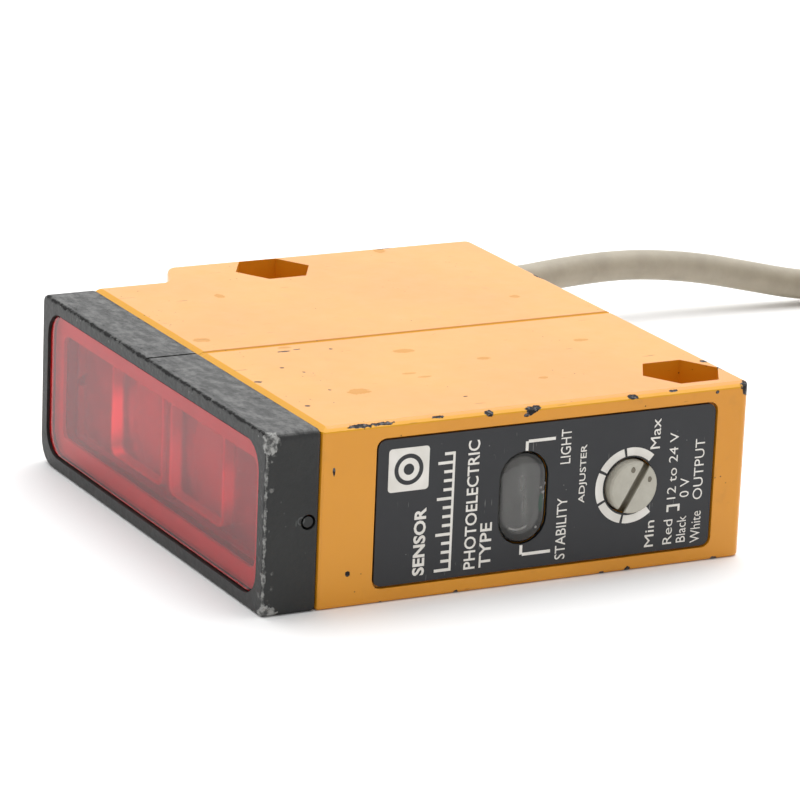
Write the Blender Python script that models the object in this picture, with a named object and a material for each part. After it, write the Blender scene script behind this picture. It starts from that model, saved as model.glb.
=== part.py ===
"""Photoelectric sensor: a flat die-cast body with a black window bezel, a printed side plate and a cord.

Every size is in millimetres; the mesh builders turn it into metres.  +X points at the side that
carries the plate, the window faces -Y, +Z is up, and the origin is the centre of the base.
"""
import math

import bmesh
import bpy
from mathutils import Vector

MM = 0.001

# ---- driving dimensions ---------------------------------------------------------------------
WIDTH = 65.4            # across the rear of the body
LENGTH = 58.6           # window side to rear
HEIGHT = 20.0
BEZEL_WIDTH = 59.4
BEZEL_DEPTH = 6.4
WALL = 1.9              # sides of the case
ROOF = 1.8
GAP = 0.3               # kept between pieces that touch
KNOB_PROUD = 0.9        # how far the adjuster stands out of the side

NEAR = (WIDTH - KNOB_PROUD) / 2     # side with the plate
FAR = NEAR - WIDTH
FRONT = -LENGTH / 2
REAR = LENGTH / 2
SEAM = FRONT + BEZEL_DEPTH
BEZEL_FAR = NEAR - BEZEL_WIDTH

STEP_START, STEP_END = FRONT + 15.1, FRONT + 19.0   # where the far side swells out

# mounting holes: a nut pocket in the top over a plain through hole
HOLE_NEAR = (NEAR - 6.24, FRONT + 53.4)
HOLE_FAR = (NEAR - 60.8, FRONT + 29.9)
NUT_FLATS = 8.3
NUT_DEPTH = 4.5
HOLE_RADIUS = 2.65
HOLE_WALL = 1.0

# window
WINDOW_INSET = 1.7
WINDOW_LOW, WINDOW_HIGH = 1.5, 18.5
WINDOW_CORNER = 3.0
WINDOW_RECESS = 2.5
WINDOW_THICK = 1.4
LEDGE_THICK = 0.8
LEDGE_WIDTH = 2.4
SPIGOT_END = FRONT + 4.3
SPIGOT_INSET = 1.9
SPIGOT_WALL = 1.3

# optical axis and the two lenses
AXIS_X = NEAR - 30.6
GROOVE_WIDTH, GROOVE_DEPTH = 0.9, 0.25      # V-groove in the top, over the optical axis
LENS_WIDTH, LENS_HEIGHT = 13.8, 10.8
LENS_OFFSET = 7.9
LENS_Z = 10.0
BLOCK_FRONT, BLOCK_REAR = FRONT + 4.9, FRONT + 21.3
OPTICS_BOARD_Y = FRONT + 22.4

# side plate, indicator window and adjuster
PLATE_Y = (FRONT + 13.1, FRONT + 54.4)
PLATE_Z = (1.8, 18.0)
PLATE_RECESS = 0.7
INDICATOR_Y, INDICATOR_Z = FRONT + 30.8, 9.8
INDICATOR_WIDTH, INDICATOR_HEIGHT = 5.7, 10.2
KNOB_Y, KNOB_Z = FRONT + 44.0, 9.75
KNOB_RADIUS = 2.95
KNOB_REST_ANGLE = math.radians(59.4)    # of the slot, from +Y towards +Z

# circuit board
BOARD_LOW, BOARD_HIGH = 3.6, 5.0
PART_Z = BOARD_HIGH + GAP

# base cover
SEAT_DEPTH = 2.2
SEAT_MARGIN = 0.8
COVER_THICK = 1.3

# cord
CORD_DIAMETER = 4.0
CORD_Y, CORD_Z = FRONT + 47.8, 9.4
BUSHING_NOSE = 4.0
CORD_BEND = 15.8         # radius of the bend beside the case
COIL_CENTRE = (-29.0, 119.0)
COIL_INNER, COIL_OUTER = 16.0, 28.0     # centre lines of the inner and outer turns
COIL_LAYERS = 4
TIE_ANGLE = math.radians(-35)
TIE_WIDTH = 3.0


# ---- builders -------------------------------------------------------------------------------
def material(name, colour, roughness, metallic=0.0, alpha=1.0):
    new = bpy.data.materials.new(name)
    new.use_nodes = True
    shader = new.node_tree.nodes["Principled BSDF"]
    shader.inputs["Base Color"].default_value = (*colour, 1.0)
    shader.inputs["Roughness"].default_value = roughness
    shader.inputs["Metallic"].default_value = metallic
    shader.inputs["Alpha"].default_value = alpha
    return new


def add_object(name, mesh, finish=None):
    piece = bpy.data.objects.new(name, mesh)
    bpy.context.collection.objects.link(piece)
    if finish:
        mesh.materials.append(finish)
    return piece


def mesh_from(shape, name, smooth):
    """Turn a bmesh in millimetres into a mesh in metres."""
    bmesh.ops.recalc_face_normals(shape, faces=shape.faces)
    bmesh.ops.scale(shape, vec=(MM, MM, MM), verts=shape.verts)
    mesh = bpy.data.meshes.new(name)
    shape.to_mesh(mesh)
    shape.free()
    if smooth:
        mesh.shade_smooth()
        mesh.set_sharp_from_angle(angle=math.radians(35))
    return mesh


def prism(name, outline, axis, low, high, finish=None, smooth=False):
    """Extrude an outline along an axis.  Its points are (y, z), (x, z) or (x, y) for X, Y or Z."""
    def point(a, b, along):
        return {"X": (along, a, b), "Y": (a, along, b), "Z": (a, b, along)}[axis]

    shape = bmesh.new()
    face = shape.faces.new([shape.verts.new(point(a, b, low)) for a, b in outline])
    side = bmesh.ops.extrude_face_region(shape, geom=[face])
    moved = [item for item in side["geom"] if isinstance(item, bmesh.types.BMVert)]
    bmesh.ops.translate(shape, verts=moved, vec=point(0, 0, high - low))
    return add_object(name, mesh_from(shape, name, smooth), finish)


def box(name, x, y, z, finish=None):
    return prism(name, [(x[0], y[0]), (x[1], y[0]), (x[1], y[1]), (x[0], y[1])], "Z", *z, finish)


TURNS = {"+X": (0, math.pi / 2, 0), "-Y": (math.pi / 2, 0, 0), "+Z": (0, 0, 0)}


def turned(name, profile, place, direction, finish=None, steps=32, ring=False):
    """Turn a profile of (radius, height) points about the local Z axis, then set it in place.

    An open profile starts and ends on the axis; a ring's profile closes on itself.
    """
    shape = bmesh.new()
    loops = []
    for radius, height in profile:
        if radius == 0:
            loops.append([shape.verts.new((0, 0, height))] * steps)
            continue
        angles = [2 * math.pi * step / steps for step in range(steps)]
        loops.append([shape.verts.new((radius * math.cos(a), radius * math.sin(a), height)) for a in angles])
    pairs = list(zip(loops, loops[1:]))
    if ring:
        pairs.append((loops[-1], loops[0]))
    for first, second in pairs:
        for step in range(steps):
            following = (step + 1) % steps
            corners = [first[step], first[following], second[following], second[step]]
            shape.faces.new(list(dict.fromkeys(corners)))
    piece = add_object(name, mesh_from(shape, name, True), finish)
    piece.location = Vector(place) * MM
    piece.rotation_euler = TURNS[direction]
    return piece


def tube(name, points, radius, finish, resolution=2):
    """A round tube with closed ends along a chain of points."""
    curve = bpy.data.curves.new(name, "CURVE")
    curve.dimensions = "3D"
    curve.bevel_depth = radius * MM
    curve.bevel_resolution = resolution
    curve.use_fill_caps = True
    spline = curve.splines.new("POLY")
    spline.points.add(len(points) - 1)
    for target, point in zip(spline.points, points):
        target.co = (*(Vector(point) * MM), 1.0)
    return add_object(name, curve, finish)


def apply_boolean(piece, tool, operation):
    modifier = piece.modifiers.new(tool.name, "BOOLEAN")
    modifier.operation = operation
    modifier.object = tool
    tool.hide_render = True
    tool.display_type = "WIRE"


def cut(piece, *tools):
    for tool in tools:
        apply_boolean(piece, tool, "DIFFERENCE")


def join(piece, *tools):
    for tool in tools:
        apply_boolean(piece, tool, "UNION")


def soften(piece, width, segments=2):
    bevel = piece.modifiers.new("edges", "BEVEL")
    bevel.width = width * MM
    bevel.segments = segments
    bevel.limit_method = "ANGLE"
    bevel.angle_limit = math.radians(40)


# ---- outlines -------------------------------------------------------------------------------
def arc(centre, radius, start, end, steps):
    """Points on an arc, angles in degrees."""
    angles = [math.radians(start + (end - start) * step / steps) for step in range(steps + 1)]
    return [(centre[0] + radius * math.cos(a), centre[1] + radius * math.sin(a)) for a in angles]


def rounded(low, high, radii, steps=5):
    """A rectangle whose corners, from the low one round, have the given radii."""
    (left, bottom), (right, top) = low, high
    corners = [(left, bottom, 1, 1, 180), (right, bottom, -1, 1, 270),
               (right, top, -1, -1, 0), (left, top, 1, -1, 90)]
    outline = []
    for (x, y, inward_x, inward_y, start), radius in zip(corners, radii):
        outline += arc((x + inward_x * radius, y + inward_y * radius), radius, start, start + 90, steps)
    return outline


def stadium(centre, width, height, steps=10):
    """An upright slot shape with round ends."""
    radius, reach = width / 2, (height - width) / 2
    x, y = centre
    return arc((x, y + reach), radius, 0, 180, steps) + arc((x, y - reach), radius, 180, 360, steps)


def hexagon(centre, flats, along_y=True):
    """A hexagon with corners on its Y axis."""
    start = 90 if along_y else 0
    return arc(centre, flats / math.sqrt(3), start, start + 300, 5)


def grow(outline, distance):
    """Move every side of a counter-clockwise outline outward."""
    grown = []
    for index, corner in enumerate(outline):
        corner = Vector(corner)
        before = (corner - Vector(outline[index - 1])).normalized()
        after = (Vector(outline[(index + 1) % len(outline)]) - corner).normalized()
        out_before, out_after = Vector((before.y, -before.x)), Vector((after.y, -after.x))
        middle = (out_before + out_after) / (1 + out_before.dot(out_after))
        grown.append(tuple(corner + middle * distance))
    return grown


def swell(steps=8):
    """The far side's S-shaped step, from the rear part forward to the bezel's width."""
    points = []
    for step in range(steps + 1):
        share = step / steps
        blend = (1 - math.cos(math.pi * share)) / 2
        points.append((FAR + (BEZEL_FAR - FAR) * blend, STEP_END + (STEP_START - STEP_END) * share))
    return points


def case_plan():
    """The yellow case from above."""
    rear_corner = 0.9
    return ([(BEZEL_FAR, SEAM), (NEAR, SEAM)]
            + arc((NEAR - rear_corner, REAR - rear_corner), rear_corner, 0, 90, 4)
            + arc((FAR + rear_corner, REAR - rear_corner), rear_corner, 90, 180, 4)
            + swell())


def cavity_plan():
    """The hollow from above: it passes round the two mounting holes."""
    near_wall, far_wall = NEAR - 2.0, FAR + WALL
    reach = NUT_FLATS / 2 + HOLE_WALL
    tip = reach / math.cos(math.radians(30))
    near_x, near_y = HOLE_NEAR
    far_x, far_y = HOLE_FAR
    near_shoulder = near_y - tip + (near_wall - near_x) * math.tan(math.radians(30))
    front_far = BEZEL_FAR + 1.8
    return [(front_far, SEAM + 1.4), (near_wall, SEAM + 1.4), (near_wall, near_shoulder),
            (near_x, near_y - tip), (near_x - reach, near_y - tip / 2), (near_x - reach, REAR - 1.8),
            (far_wall, REAR - 1.8), (far_wall, far_y + tip + 0.4), (far_x, far_y + tip),
            (far_x + reach, far_y + tip / 2), (far_x + reach, far_y - tip / 2),
            (front_far, far_y - tip / 2 - 1.0)]


def window_outline(inset, low, high, corner):
    return rounded((BEZEL_FAR + inset, low), (NEAR - inset, high), [corner] * 4)


# ---- finishes -------------------------------------------------------------------------------
YELLOW = material("yellow_paint", (0.80, 0.42, 0.08), 0.45)
BLACK_PAINT = material("black_paint", (0.05, 0.05, 0.05), 0.5)
RED_FILTER = material("red_filter", (0.55, 0.05, 0.07), 0.1, alpha=0.6)
CLEAR = material("clear_plastic", (0.8, 0.85, 0.85), 0.08, alpha=0.4)
BLACK_PLASTIC = material("black_plastic", (0.03, 0.03, 0.03), 0.5)
PLATE_BLACK = material("plate_black", (0.02, 0.02, 0.02), 0.35)
CREAM = material("cream_plastic", (0.78, 0.70, 0.55), 0.4)
RUBBER = material("rubber", (0.04, 0.04, 0.04), 0.8)
ADHESIVE = material("adhesive", (0.5, 0.48, 0.46), 0.7)
STEEL = material("steel", (0.6, 0.6, 0.6), 0.35, 1.0)
TINPLATE = material("tinplate", (0.65, 0.65, 0.66), 0.3, 1.0)
BOARD_GREEN = material("board_green", (0.03, 0.20, 0.08), 0.45)
LED_RED = material("led_red", (0.8, 0.03, 0.02), 0.15, alpha=0.7)
LED_GREEN = material("led_green", (0.05, 0.6, 0.1), 0.15, alpha=0.7)
POT_BLUE = material("pot_blue", (0.05, 0.2, 0.5), 0.4)
SHEATH = material("cord_sheath", (0.55, 0.52, 0.46), 0.55)
WIRE_RED = material("wire_red", (0.6, 0.04, 0.03), 0.45)
WIRE_BLACK = material("wire_black", (0.02, 0.02, 0.02), 0.45)
WIRE_WHITE = material("wire_white", (0.8, 0.8, 0.78), 0.45)
TIE_BLACK = material("tie_black", (0.03, 0.03, 0.03), 0.45)

COVER_SCREWS = {
    "front_near": (NEAR - 4.6, SEAM + 4.2),
    "front_far": (BEZEL_FAR + 4.6, SEAM + 4.2),
    "rear_near": (HOLE_NEAR[0] - 8.0, REAR - 4.4),
    "rear_far": (FAR + 6.2, REAR - 4.2),
}
BOARD_SCREWS = {"near": (14.0, 18.0), "far": (-20.2, 11.2)}


# ---- case -----------------------------------------------------------------------------------
def build_housing():
    housing = prism("housing", case_plan(), "Z", 0, HEIGHT, YELLOW)
    soften(housing, 0.35)
    spigot = window_outline(SPIGOT_INSET, SPIGOT_INSET, HEIGHT - SPIGOT_INSET, 1.2)
    join(housing, prism("spigot", spigot, "Y", SPIGOT_END, SEAM + 1.0))

    mouth = SPIGOT_INSET + SPIGOT_WALL
    opening = window_outline(mouth, mouth, HEIGHT - mouth, 0.5)
    cut(housing,
        prism("mouth", opening, "Y", SPIGOT_END - 1, SEAM + 3.0),
        prism("cavity", cavity_plan(), "Z", SEAT_DEPTH - 0.5, HEIGHT - ROOF),
        prism("cover_seat", grow(cavity_plan(), SEAT_MARGIN), "Z", -1, SEAT_DEPTH))

    for name, place in {"nut_near": HOLE_NEAR, "nut_far": HOLE_FAR}.items():
        cut(housing,
            prism(name, hexagon(place, NUT_FLATS), "Z", HEIGHT - NUT_DEPTH, HEIGHT + 1),
            turned(name + "_hole", [(0, -1), (HOLE_RADIUS, -1), (HOLE_RADIUS, HEIGHT), (0, HEIGHT)],
                   (*place, 0), "+Z", steps=36))

    edge_top, edge_side = 1.0, 0.4
    chamfer = [(NEAR - 2.25 * edge_top, HEIGHT + 1.25 * edge_side),
               (NEAR + 1.25 * edge_top, HEIGHT - 2.25 * edge_side),
               (NEAR + 1.25 * edge_top, HEIGHT + 2), (NEAR - 2.25 * edge_top, HEIGHT + 2)]
    edge_top, edge_side = 0.8, 0.4
    seam_chamfer = [(SEAM - 1.25 * edge_top, HEIGHT - 2.25 * edge_side),
                    (SEAM + 2.25 * edge_top, HEIGHT + 1.25 * edge_side),
                    (SEAM + 2.25 * edge_top, HEIGHT + 2), (SEAM - 1.25 * edge_top, HEIGHT + 2)]
    groove = [(AXIS_X, HEIGHT - GROOVE_DEPTH), (AXIS_X + 1.5 * GROOVE_WIDTH, HEIGHT + 2 * GROOVE_DEPTH),
              (AXIS_X - 1.5 * GROOVE_WIDTH, HEIGHT + 2 * GROOVE_DEPTH)]
    plate = rounded((PLATE_Y[0] - 0.25, PLATE_Z[0] - 0.25), (PLATE_Y[1] + 0.25, PLATE_Z[1] + 0.25), [1.1] * 4)
    slot = stadium((INDICATOR_Y, INDICATOR_Z), INDICATOR_WIDTH + 0.4, INDICATOR_HEIGHT + 0.4)
    cut(housing,
        prism("edge_chamfer", chamfer, "Y", SEAM - 1, REAR + 1),
        prism("seam_chamfer", seam_chamfer, "X", FAR - 1, NEAR + 1),
        prism("axis_groove", groove, "Y", SEAM - 1, REAR + 1),
        prism("plate_recess", plate, "X", NEAR - PLATE_RECESS, NEAR + 1),
        prism("indicator_slot", slot, "X", NEAR - 4, NEAR + 1),
        turned("adjuster_hole", [(0, -4), (3.15, -4), (3.15, 1), (0, 1)], (NEAR, KNOB_Y, KNOB_Z), "+X"),
        turned("cord_hole", [(0, -1), (3.5, -1), (3.5, 4), (0, 4)], (FAR, CORD_Y, CORD_Z), "+X"))

    for name, place in COVER_SCREWS.items():
        pillar = [(0, SEAT_DEPTH), (1.9, SEAT_DEPTH), (1.9, HEIGHT - 1.2), (0, HEIGHT - 1.2)]
        join(housing, turned("pillar_" + name, pillar, (*place, 0), "+Z", steps=20))
    for name, place in BOARD_SCREWS.items():
        post = [(0, PART_Z), (1.8, PART_Z), (1.8, HEIGHT - 1.2), (0, HEIGHT - 1.2)]
        join(housing, turned("post_" + name, post, (*place, 0), "+Z", steps=20))
    for name, place in {**COVER_SCREWS, **BOARD_SCREWS}.items():
        pilot = [(0, 1), (1.05, 1), (1.05, 10), (0, 10)]
        cut(housing, turned("pilot_" + name, pilot, (*place, 0), "+Z", steps=12))
    cut(housing, pin_hole("case_pin_hole_near", NEAR), pin_hole("case_pin_hole_far", BEZEL_FAR))


def build_base_cover():
    outline = grow(cavity_plan(), SEAT_MARGIN - GAP)
    cover = prism("base_cover", outline, "Z", 0, COVER_THICK, YELLOW)
    gasket = prism("base_gasket", outline, "Z", COVER_THICK + 0.15, SEAT_DEPTH - 0.15, RUBBER)
    cut(gasket, prism("gasket_inside", grow(cavity_plan(), -0.4), "Z", 1, 3))
    sink = [(0, -0.5), (2.0, -0.5), (2.0, 0.3), (1.05, 1.0), (1.05, 2), (0, 2)]
    screw = [(0, 0.1), (1.7, 0.1), (1.7, 0.3), (0.75, 1.1), (0.75, 8), (0, 8)]
    for name, place in COVER_SCREWS.items():
        cut(cover, turned("sink_" + name, sink, (*place, 0), "+Z", steps=20))
        fastener = turned("cover_screw_" + name, screw, (*place, 0), "+Z", STEEL, steps=20)
        cut_cross(fastener, place)


def cut_cross(screw, place):
    """Two crossed driver slots in the head, seen from below."""
    for turn in (0, 1):
        reach = (1.0, 0.25)
        across, along = reach[turn], reach[1 - turn]
        slot = box(f"{screw.name}_slot_{turn}", (place[0] - across, place[0] + across),
                   (place[1] - along, place[1] + along), (-1, 0.5))
        cut(screw, slot)


def pin_hole(name, side):
    """The cross hole for the pin that holds the bezel on the case."""
    outline = arc((FRONT + 5.1, HEIGHT / 2), 0.85, 0, 345, 23)
    return prism(name, outline, "X", side - 4, side + 4)


def build_bezel():
    corners = [3.0, 0.6, 0.8, 1.0]
    face = rounded((BEZEL_FAR, 0), (NEAR, HEIGHT), corners)
    bezel = prism("front_bezel", face, "Y", FRONT, SEAM - 0.1, BLACK_PAINT)
    soften(bezel, 0.35, 2)
    ledge = FRONT + WINDOW_RECESS
    inset = SPIGOT_INSET - GAP
    aperture = WINDOW_INSET + LEDGE_WIDTH
    cut(bezel,
        prism("window_recess", window_outline(WINDOW_INSET, WINDOW_LOW, WINDOW_HIGH, WINDOW_CORNER),
              "Y", FRONT - 1, ledge),
        prism("aperture", window_outline(aperture, WINDOW_LOW + LEDGE_WIDTH, WINDOW_HIGH - LEDGE_WIDTH, 1.2),
              "Y", FRONT, SEAM),
        prism("spigot_pocket", window_outline(inset, inset, HEIGHT - inset, 1.4),
              "Y", ledge + LEDGE_THICK, SEAM + 1),
        box("bezel_groove", (AXIS_X - 0.2, AXIS_X + 0.2), (FRONT - 1, SEAM + 1), (HEIGHT - 0.2, HEIGHT + 1)),
        pin_hole("bezel_pin_hole_near", NEAR), pin_hole("bezel_pin_hole_far", BEZEL_FAR))

    pin = [(0, 0), (0.6, 0), (0.6, 2.9), (0, 2.9)]
    turned("bezel_pin_near", pin, (NEAR - 3.0, FRONT + 5.1, HEIGHT / 2), "+X", STEEL, steps=16)
    turned("bezel_pin_far", pin, (BEZEL_FAR + 0.1, FRONT + 5.1, HEIGHT / 2), "+X", STEEL, steps=16)

    clearance = 0.15
    rear = FRONT + 0.3 + WINDOW_THICK
    filter_edge = window_outline(WINDOW_INSET + clearance, WINDOW_LOW + clearance, WINDOW_HIGH - clearance,
                                 WINDOW_CORNER - clearance)
    window = prism("filter_window", filter_edge, "Y", FRONT + 0.3, rear, RED_FILTER)
    soften(window, 0.12, 1)

    bead = prism("window_adhesive", filter_edge, "Y", rear + 0.2, ledge - 0.2, ADHESIVE)
    bead_inside = window_outline(aperture, WINDOW_LOW + LEDGE_WIDTH, WINDOW_HIGH - LEDGE_WIDTH, 1.2)
    cut(bead, prism("bead_inside", bead_inside, "Y", FRONT, SEAM))

    gasket = prism("case_gasket", window_outline(SPIGOT_INSET, SPIGOT_INSET, HEIGHT - SPIGOT_INSET, 1.2),
                   "Y", ledge + LEDGE_THICK + 0.2, SPIGOT_END - 0.2, RUBBER)
    inside = SPIGOT_INSET + SPIGOT_WALL
    cut(gasket, prism("gasket_mouth", window_outline(inside, inside, HEIGHT - inside, 0.5), "Y", FRONT, SEAM))


# ---- optics ---------------------------------------------------------------------------------
def funnel(name, centre_x, stations):
    """A square funnel through (y, half width, half height) stations."""
    shape = bmesh.new()
    rings = []
    for y, half_width, half_height in stations:
        signs = ((-1, -1), (1, -1), (1, 1), (-1, 1))
        rings.append([shape.verts.new((centre_x + a * half_width, y, LENS_Z + b * half_height))
                      for a, b in signs])
    for first, second in zip(rings, rings[1:]):
        for side in range(4):
            following = (side + 1) % 4
            shape.faces.new([first[side], first[following], second[following], second[side]])
    shape.faces.new(rings[0])
    shape.faces.new(rings[-1])
    return add_object(name, mesh_from(shape, name, False))


def build_optical_block():
    divider = 0.6
    flange_rear = BLOCK_FRONT + 1.8
    body = (AXIS_X - 16.2, AXIS_X + 16.2)
    flange = (BEZEL_FAR + 3.7, NEAR - 3.7)
    plan = [(flange[0], BLOCK_FRONT), (AXIS_X - divider, BLOCK_FRONT), (AXIS_X - divider, BLOCK_FRONT - 0.9),
            (AXIS_X + divider, BLOCK_FRONT - 0.9), (AXIS_X + divider, BLOCK_FRONT), (flange[1], BLOCK_FRONT),
            (flange[1], flange_rear), (body[1], flange_rear), (body[1], BLOCK_REAR),
            (body[0], BLOCK_REAR), (body[0], flange_rear), (flange[0], flange_rear)]
    block = prism("optical_block", plan, "Z", 3.6, 16.4, BLACK_PLASTIC)
    seat_y = BLOCK_FRONT + 2.8
    half_width, half_height = LENS_WIDTH / 2, LENS_HEIGHT / 2
    for name, side in {"emitter": 1, "receiver": -1}.items():
        centre = AXIS_X + side * LENS_OFFSET
        seat = [(BLOCK_FRONT - 1.5, half_width + 0.25, half_height + 0.25),
                (seat_y, half_width + 0.25, half_height + 0.25)]
        bore = [(seat_y - 0.5, half_width - 0.6, half_height - 0.6),
                (BLOCK_REAR - 4, 2.7, 2.7), (BLOCK_REAR + 1, 2.7, 2.7)]
        cut(block, funnel(name + "_seat", centre, seat), funnel(name + "_bore", centre, bore))
        build_lens(name + "_lens", centre, seat_y - GAP)


def build_lens(name, centre_x, rear):
    """A rectangular lens with a crowned front."""
    columns, rows, edge, crown = 12, 10, 1.3, 1.9
    half_width, half_height = LENS_WIDTH / 2, LENS_HEIGHT / 2
    corner = math.hypot(half_width, half_height)
    shape = bmesh.new()

    def vertex(column, row, depth):
        return shape.verts.new((centre_x + half_width * (2 * column / columns - 1), depth,
                                LENS_Z + half_height * (2 * row / rows - 1)))

    def crowned(column, row):
        aside, above = half_width * (2 * column / columns - 1), half_height * (2 * row / rows - 1)
        share = math.hypot(aside, above) / corner
        return rear - edge - crown * (1 - share ** 2)

    grids = []
    for depth_at in (crowned, lambda column, row: rear):
        grids.append([[vertex(c, r, depth_at(c, r)) for r in range(rows + 1)] for c in range(columns + 1)])
    for grid in grids:
        for c in range(columns):
            for r in range(rows):
                shape.faces.new([grid[c][r], grid[c + 1][r], grid[c + 1][r + 1], grid[c][r + 1]])

    def rim(grid):
        return ([grid[c][0] for c in range(columns)] + [grid[columns][r] for r in range(rows)]
                + [grid[c][rows] for c in range(columns, 0, -1)] + [grid[0][r] for r in range(rows, 0, -1)])

    front, back = rim(grids[0]), rim(grids[1])
    for index in range(len(front)):
        shape.faces.new([front[index - 1], front[index], back[index], back[index - 1]])
    return add_object(name, mesh_from(shape, name, True), CLEAR)


def build_optics_board():
    low, high = OPTICS_BOARD_Y, OPTICS_BOARD_Y + 1.2
    box("optics_board", (AXIS_X - 16.0, AXIS_X + 16.0), (low, high), (3.8, 16.2), BOARD_GREEN)
    dome = [(0, 4.6)] + [(2.2 * math.cos(a), 2.4 + 2.2 * math.sin(a)) for a in
                         (math.radians(step) for step in (75, 60, 45, 30, 15, 0))]
    led = dome + [(2.2, 0.6), (2.6, 0.6), (2.6, 0), (0, 0)]
    turned("emitter_led", led, (AXIS_X + LENS_OFFSET, low - 0.25, LENS_Z), "-Y", LED_RED, steps=24)
    can = [(0, 3.0), (1.9, 3.0), (2.2, 2.7), (2.2, 0.6), (2.6, 0.6), (2.6, 0), (0, 0)]
    turned("receiver_photodiode", can, (AXIS_X - LENS_OFFSET, low - 0.25, LENS_Z), "-Y", STEEL, steps=24)


# ---- electronics ----------------------------------------------------------------------------
def build_main_board():
    inside = grow(cavity_plan(), -0.7)
    near_edge, front_edge, rear_edge = NEAR - 4.0, OPTICS_BOARD_Y + 2.2, FRONT + 50.6
    outline = [(inside[10][0], front_edge), (near_edge, front_edge), (near_edge, inside[2][1] - 2.2),
               (inside[4][0] - 0.2, inside[4][1] - 0.6), (inside[4][0] - 0.2, rear_edge),
               (inside[6][0], rear_edge), (inside[7][0], inside[7][1]), inside[8], inside[9], ]
    board = prism("main_board", outline, "Z", BOARD_LOW, BOARD_HIGH, BOARD_GREEN)
    screw = [(0, 2.35), (1.7, 2.35), (1.7, 3.3), (0.75, 3.3), (0.75, 9), (0, 9)]
    for name, place in BOARD_SCREWS.items():
        hole = [(0, 3), (1.05, 3), (1.05, 6), (0, 6)]
        cut(board, turned("board_hole_" + name, hole, (*place, 0), "+Z", steps=16))
        turned("board_screw_" + name, screw, (*place, 0), "+Z", STEEL, steps=20)

    box("control_ic", (2.6, 12.2), (6.4, 13.6), (PART_Z, PART_Z + 2.0), BLACK_PLASTIC)
    box("amplifier_ic", (-14.4, -8.4), (0.4, 4.6), (PART_Z, PART_Z + 1.6), BLACK_PLASTIC)
    box("output_transistor", (-13.6, -9.2), (10.4, 14.0), (PART_Z, PART_Z + 1.6), BLACK_PLASTIC)
    can = [(0, 0), (2.5, 0), (2.5, 5.5), (2.2, 5.8), (0, 5.8)]
    turned("filter_capacitor", can, (-4.0, 15.6, PART_Z), "+Z", TINPLATE, steps=24)

    shield = box("shield_can", (-19.2, -3.4), (-3.2, 8.2), (PART_Z, PART_Z + 5.4), TINPLATE)
    cut(shield, box("shield_inside", (-18.8, -3.8), (-2.8, 7.8), (PART_Z - 1, PART_Z + 5.0)))

    rear = OPTICS_BOARD_Y + 1.2 + GAP
    header = [(rear, PART_Z), (rear + 3.0, PART_Z), (rear + 3.0, PART_Z + 1.5), (rear + 0.8, PART_Z + 1.5),
              (rear + 0.8, PART_Z + 4.5), (rear, PART_Z + 4.5)]
    prism("board_header", header, "X", 2.0, 14.0, BLACK_PLASTIC)


def build_indicator():
    centre = (INDICATOR_Y, INDICATOR_Z)
    guide = prism("indicator_lens", stadium(centre, INDICATOR_WIDTH, INDICATOR_HEIGHT), "X",
                  NEAR - 3.0, NEAR - 0.1, CLEAR)
    soften(guide, 0.5, 3)
    join(guide, prism("guide_flange", stadium(centre, 7.2, 11.7), "X", NEAR - 3.3, NEAR - 2.3))

    levels = {"light_led": (12.1, LED_RED), "stability_led": (7.5, LED_GREEN)}
    holder = box("led_holder", (NEAR - 9.0, NEAR - 5.0), (INDICATOR_Y - 2.3, INDICATOR_Y + 2.3),
                 (PART_Z, 14.6), BLACK_PLASTIC)
    dome = [(1.2 * math.cos(a), -4.9 + 1.2 * math.sin(a)) for a in
            (math.radians(step) for step in (0, 18, 36, 54, 72))]
    for name, (level, colour) in levels.items():
        place = (NEAR, INDICATOR_Y, level)
        hole = [(0, -10), (1.45, -10), (1.45, -4), (0, -4)]
        cut(holder, turned(name + "_hole", hole, place, "+X", steps=24))
        turned(name, [(0, -8.7), (1.2, -8.7), *dome, (0, -3.7)], place, "+X", colour, steps=24)


def build_nameplate():
    outline = rounded((PLATE_Y[0], PLATE_Z[0]), (PLATE_Y[1], PLATE_Z[1]), [0.9] * 4)
    plate = prism("nameplate", outline, "X", NEAR - 0.5, NEAR - 0.1, PLATE_BLACK)
    slot = stadium((INDICATOR_Y, INDICATOR_Z), INDICATOR_WIDTH + 0.3, INDICATOR_HEIGHT + 0.3)
    cut(plate,
        prism("plate_slot", slot, "X", NEAR - 2, NEAR + 1),
        turned("plate_hole", [(0, -2), (3.2, -2), (3.2, 1), (0, 1)], (NEAR, KNOB_Y, KNOB_Z), "+X"))


# ---- sensitivity adjuster -------------------------------------------------------------------
def slot_tool(name, half_length, half_width, low, high):
    """A bar across the knob's axis, turned to the knob's rest angle."""
    bar = prism(name, [(-half_length, -half_width), (half_length, -half_width),
                       (half_length, half_width), (-half_length, half_width)], "X", low, high)
    bar.rotation_euler = (KNOB_REST_ANGLE, 0, 0)
    return bar


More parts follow.
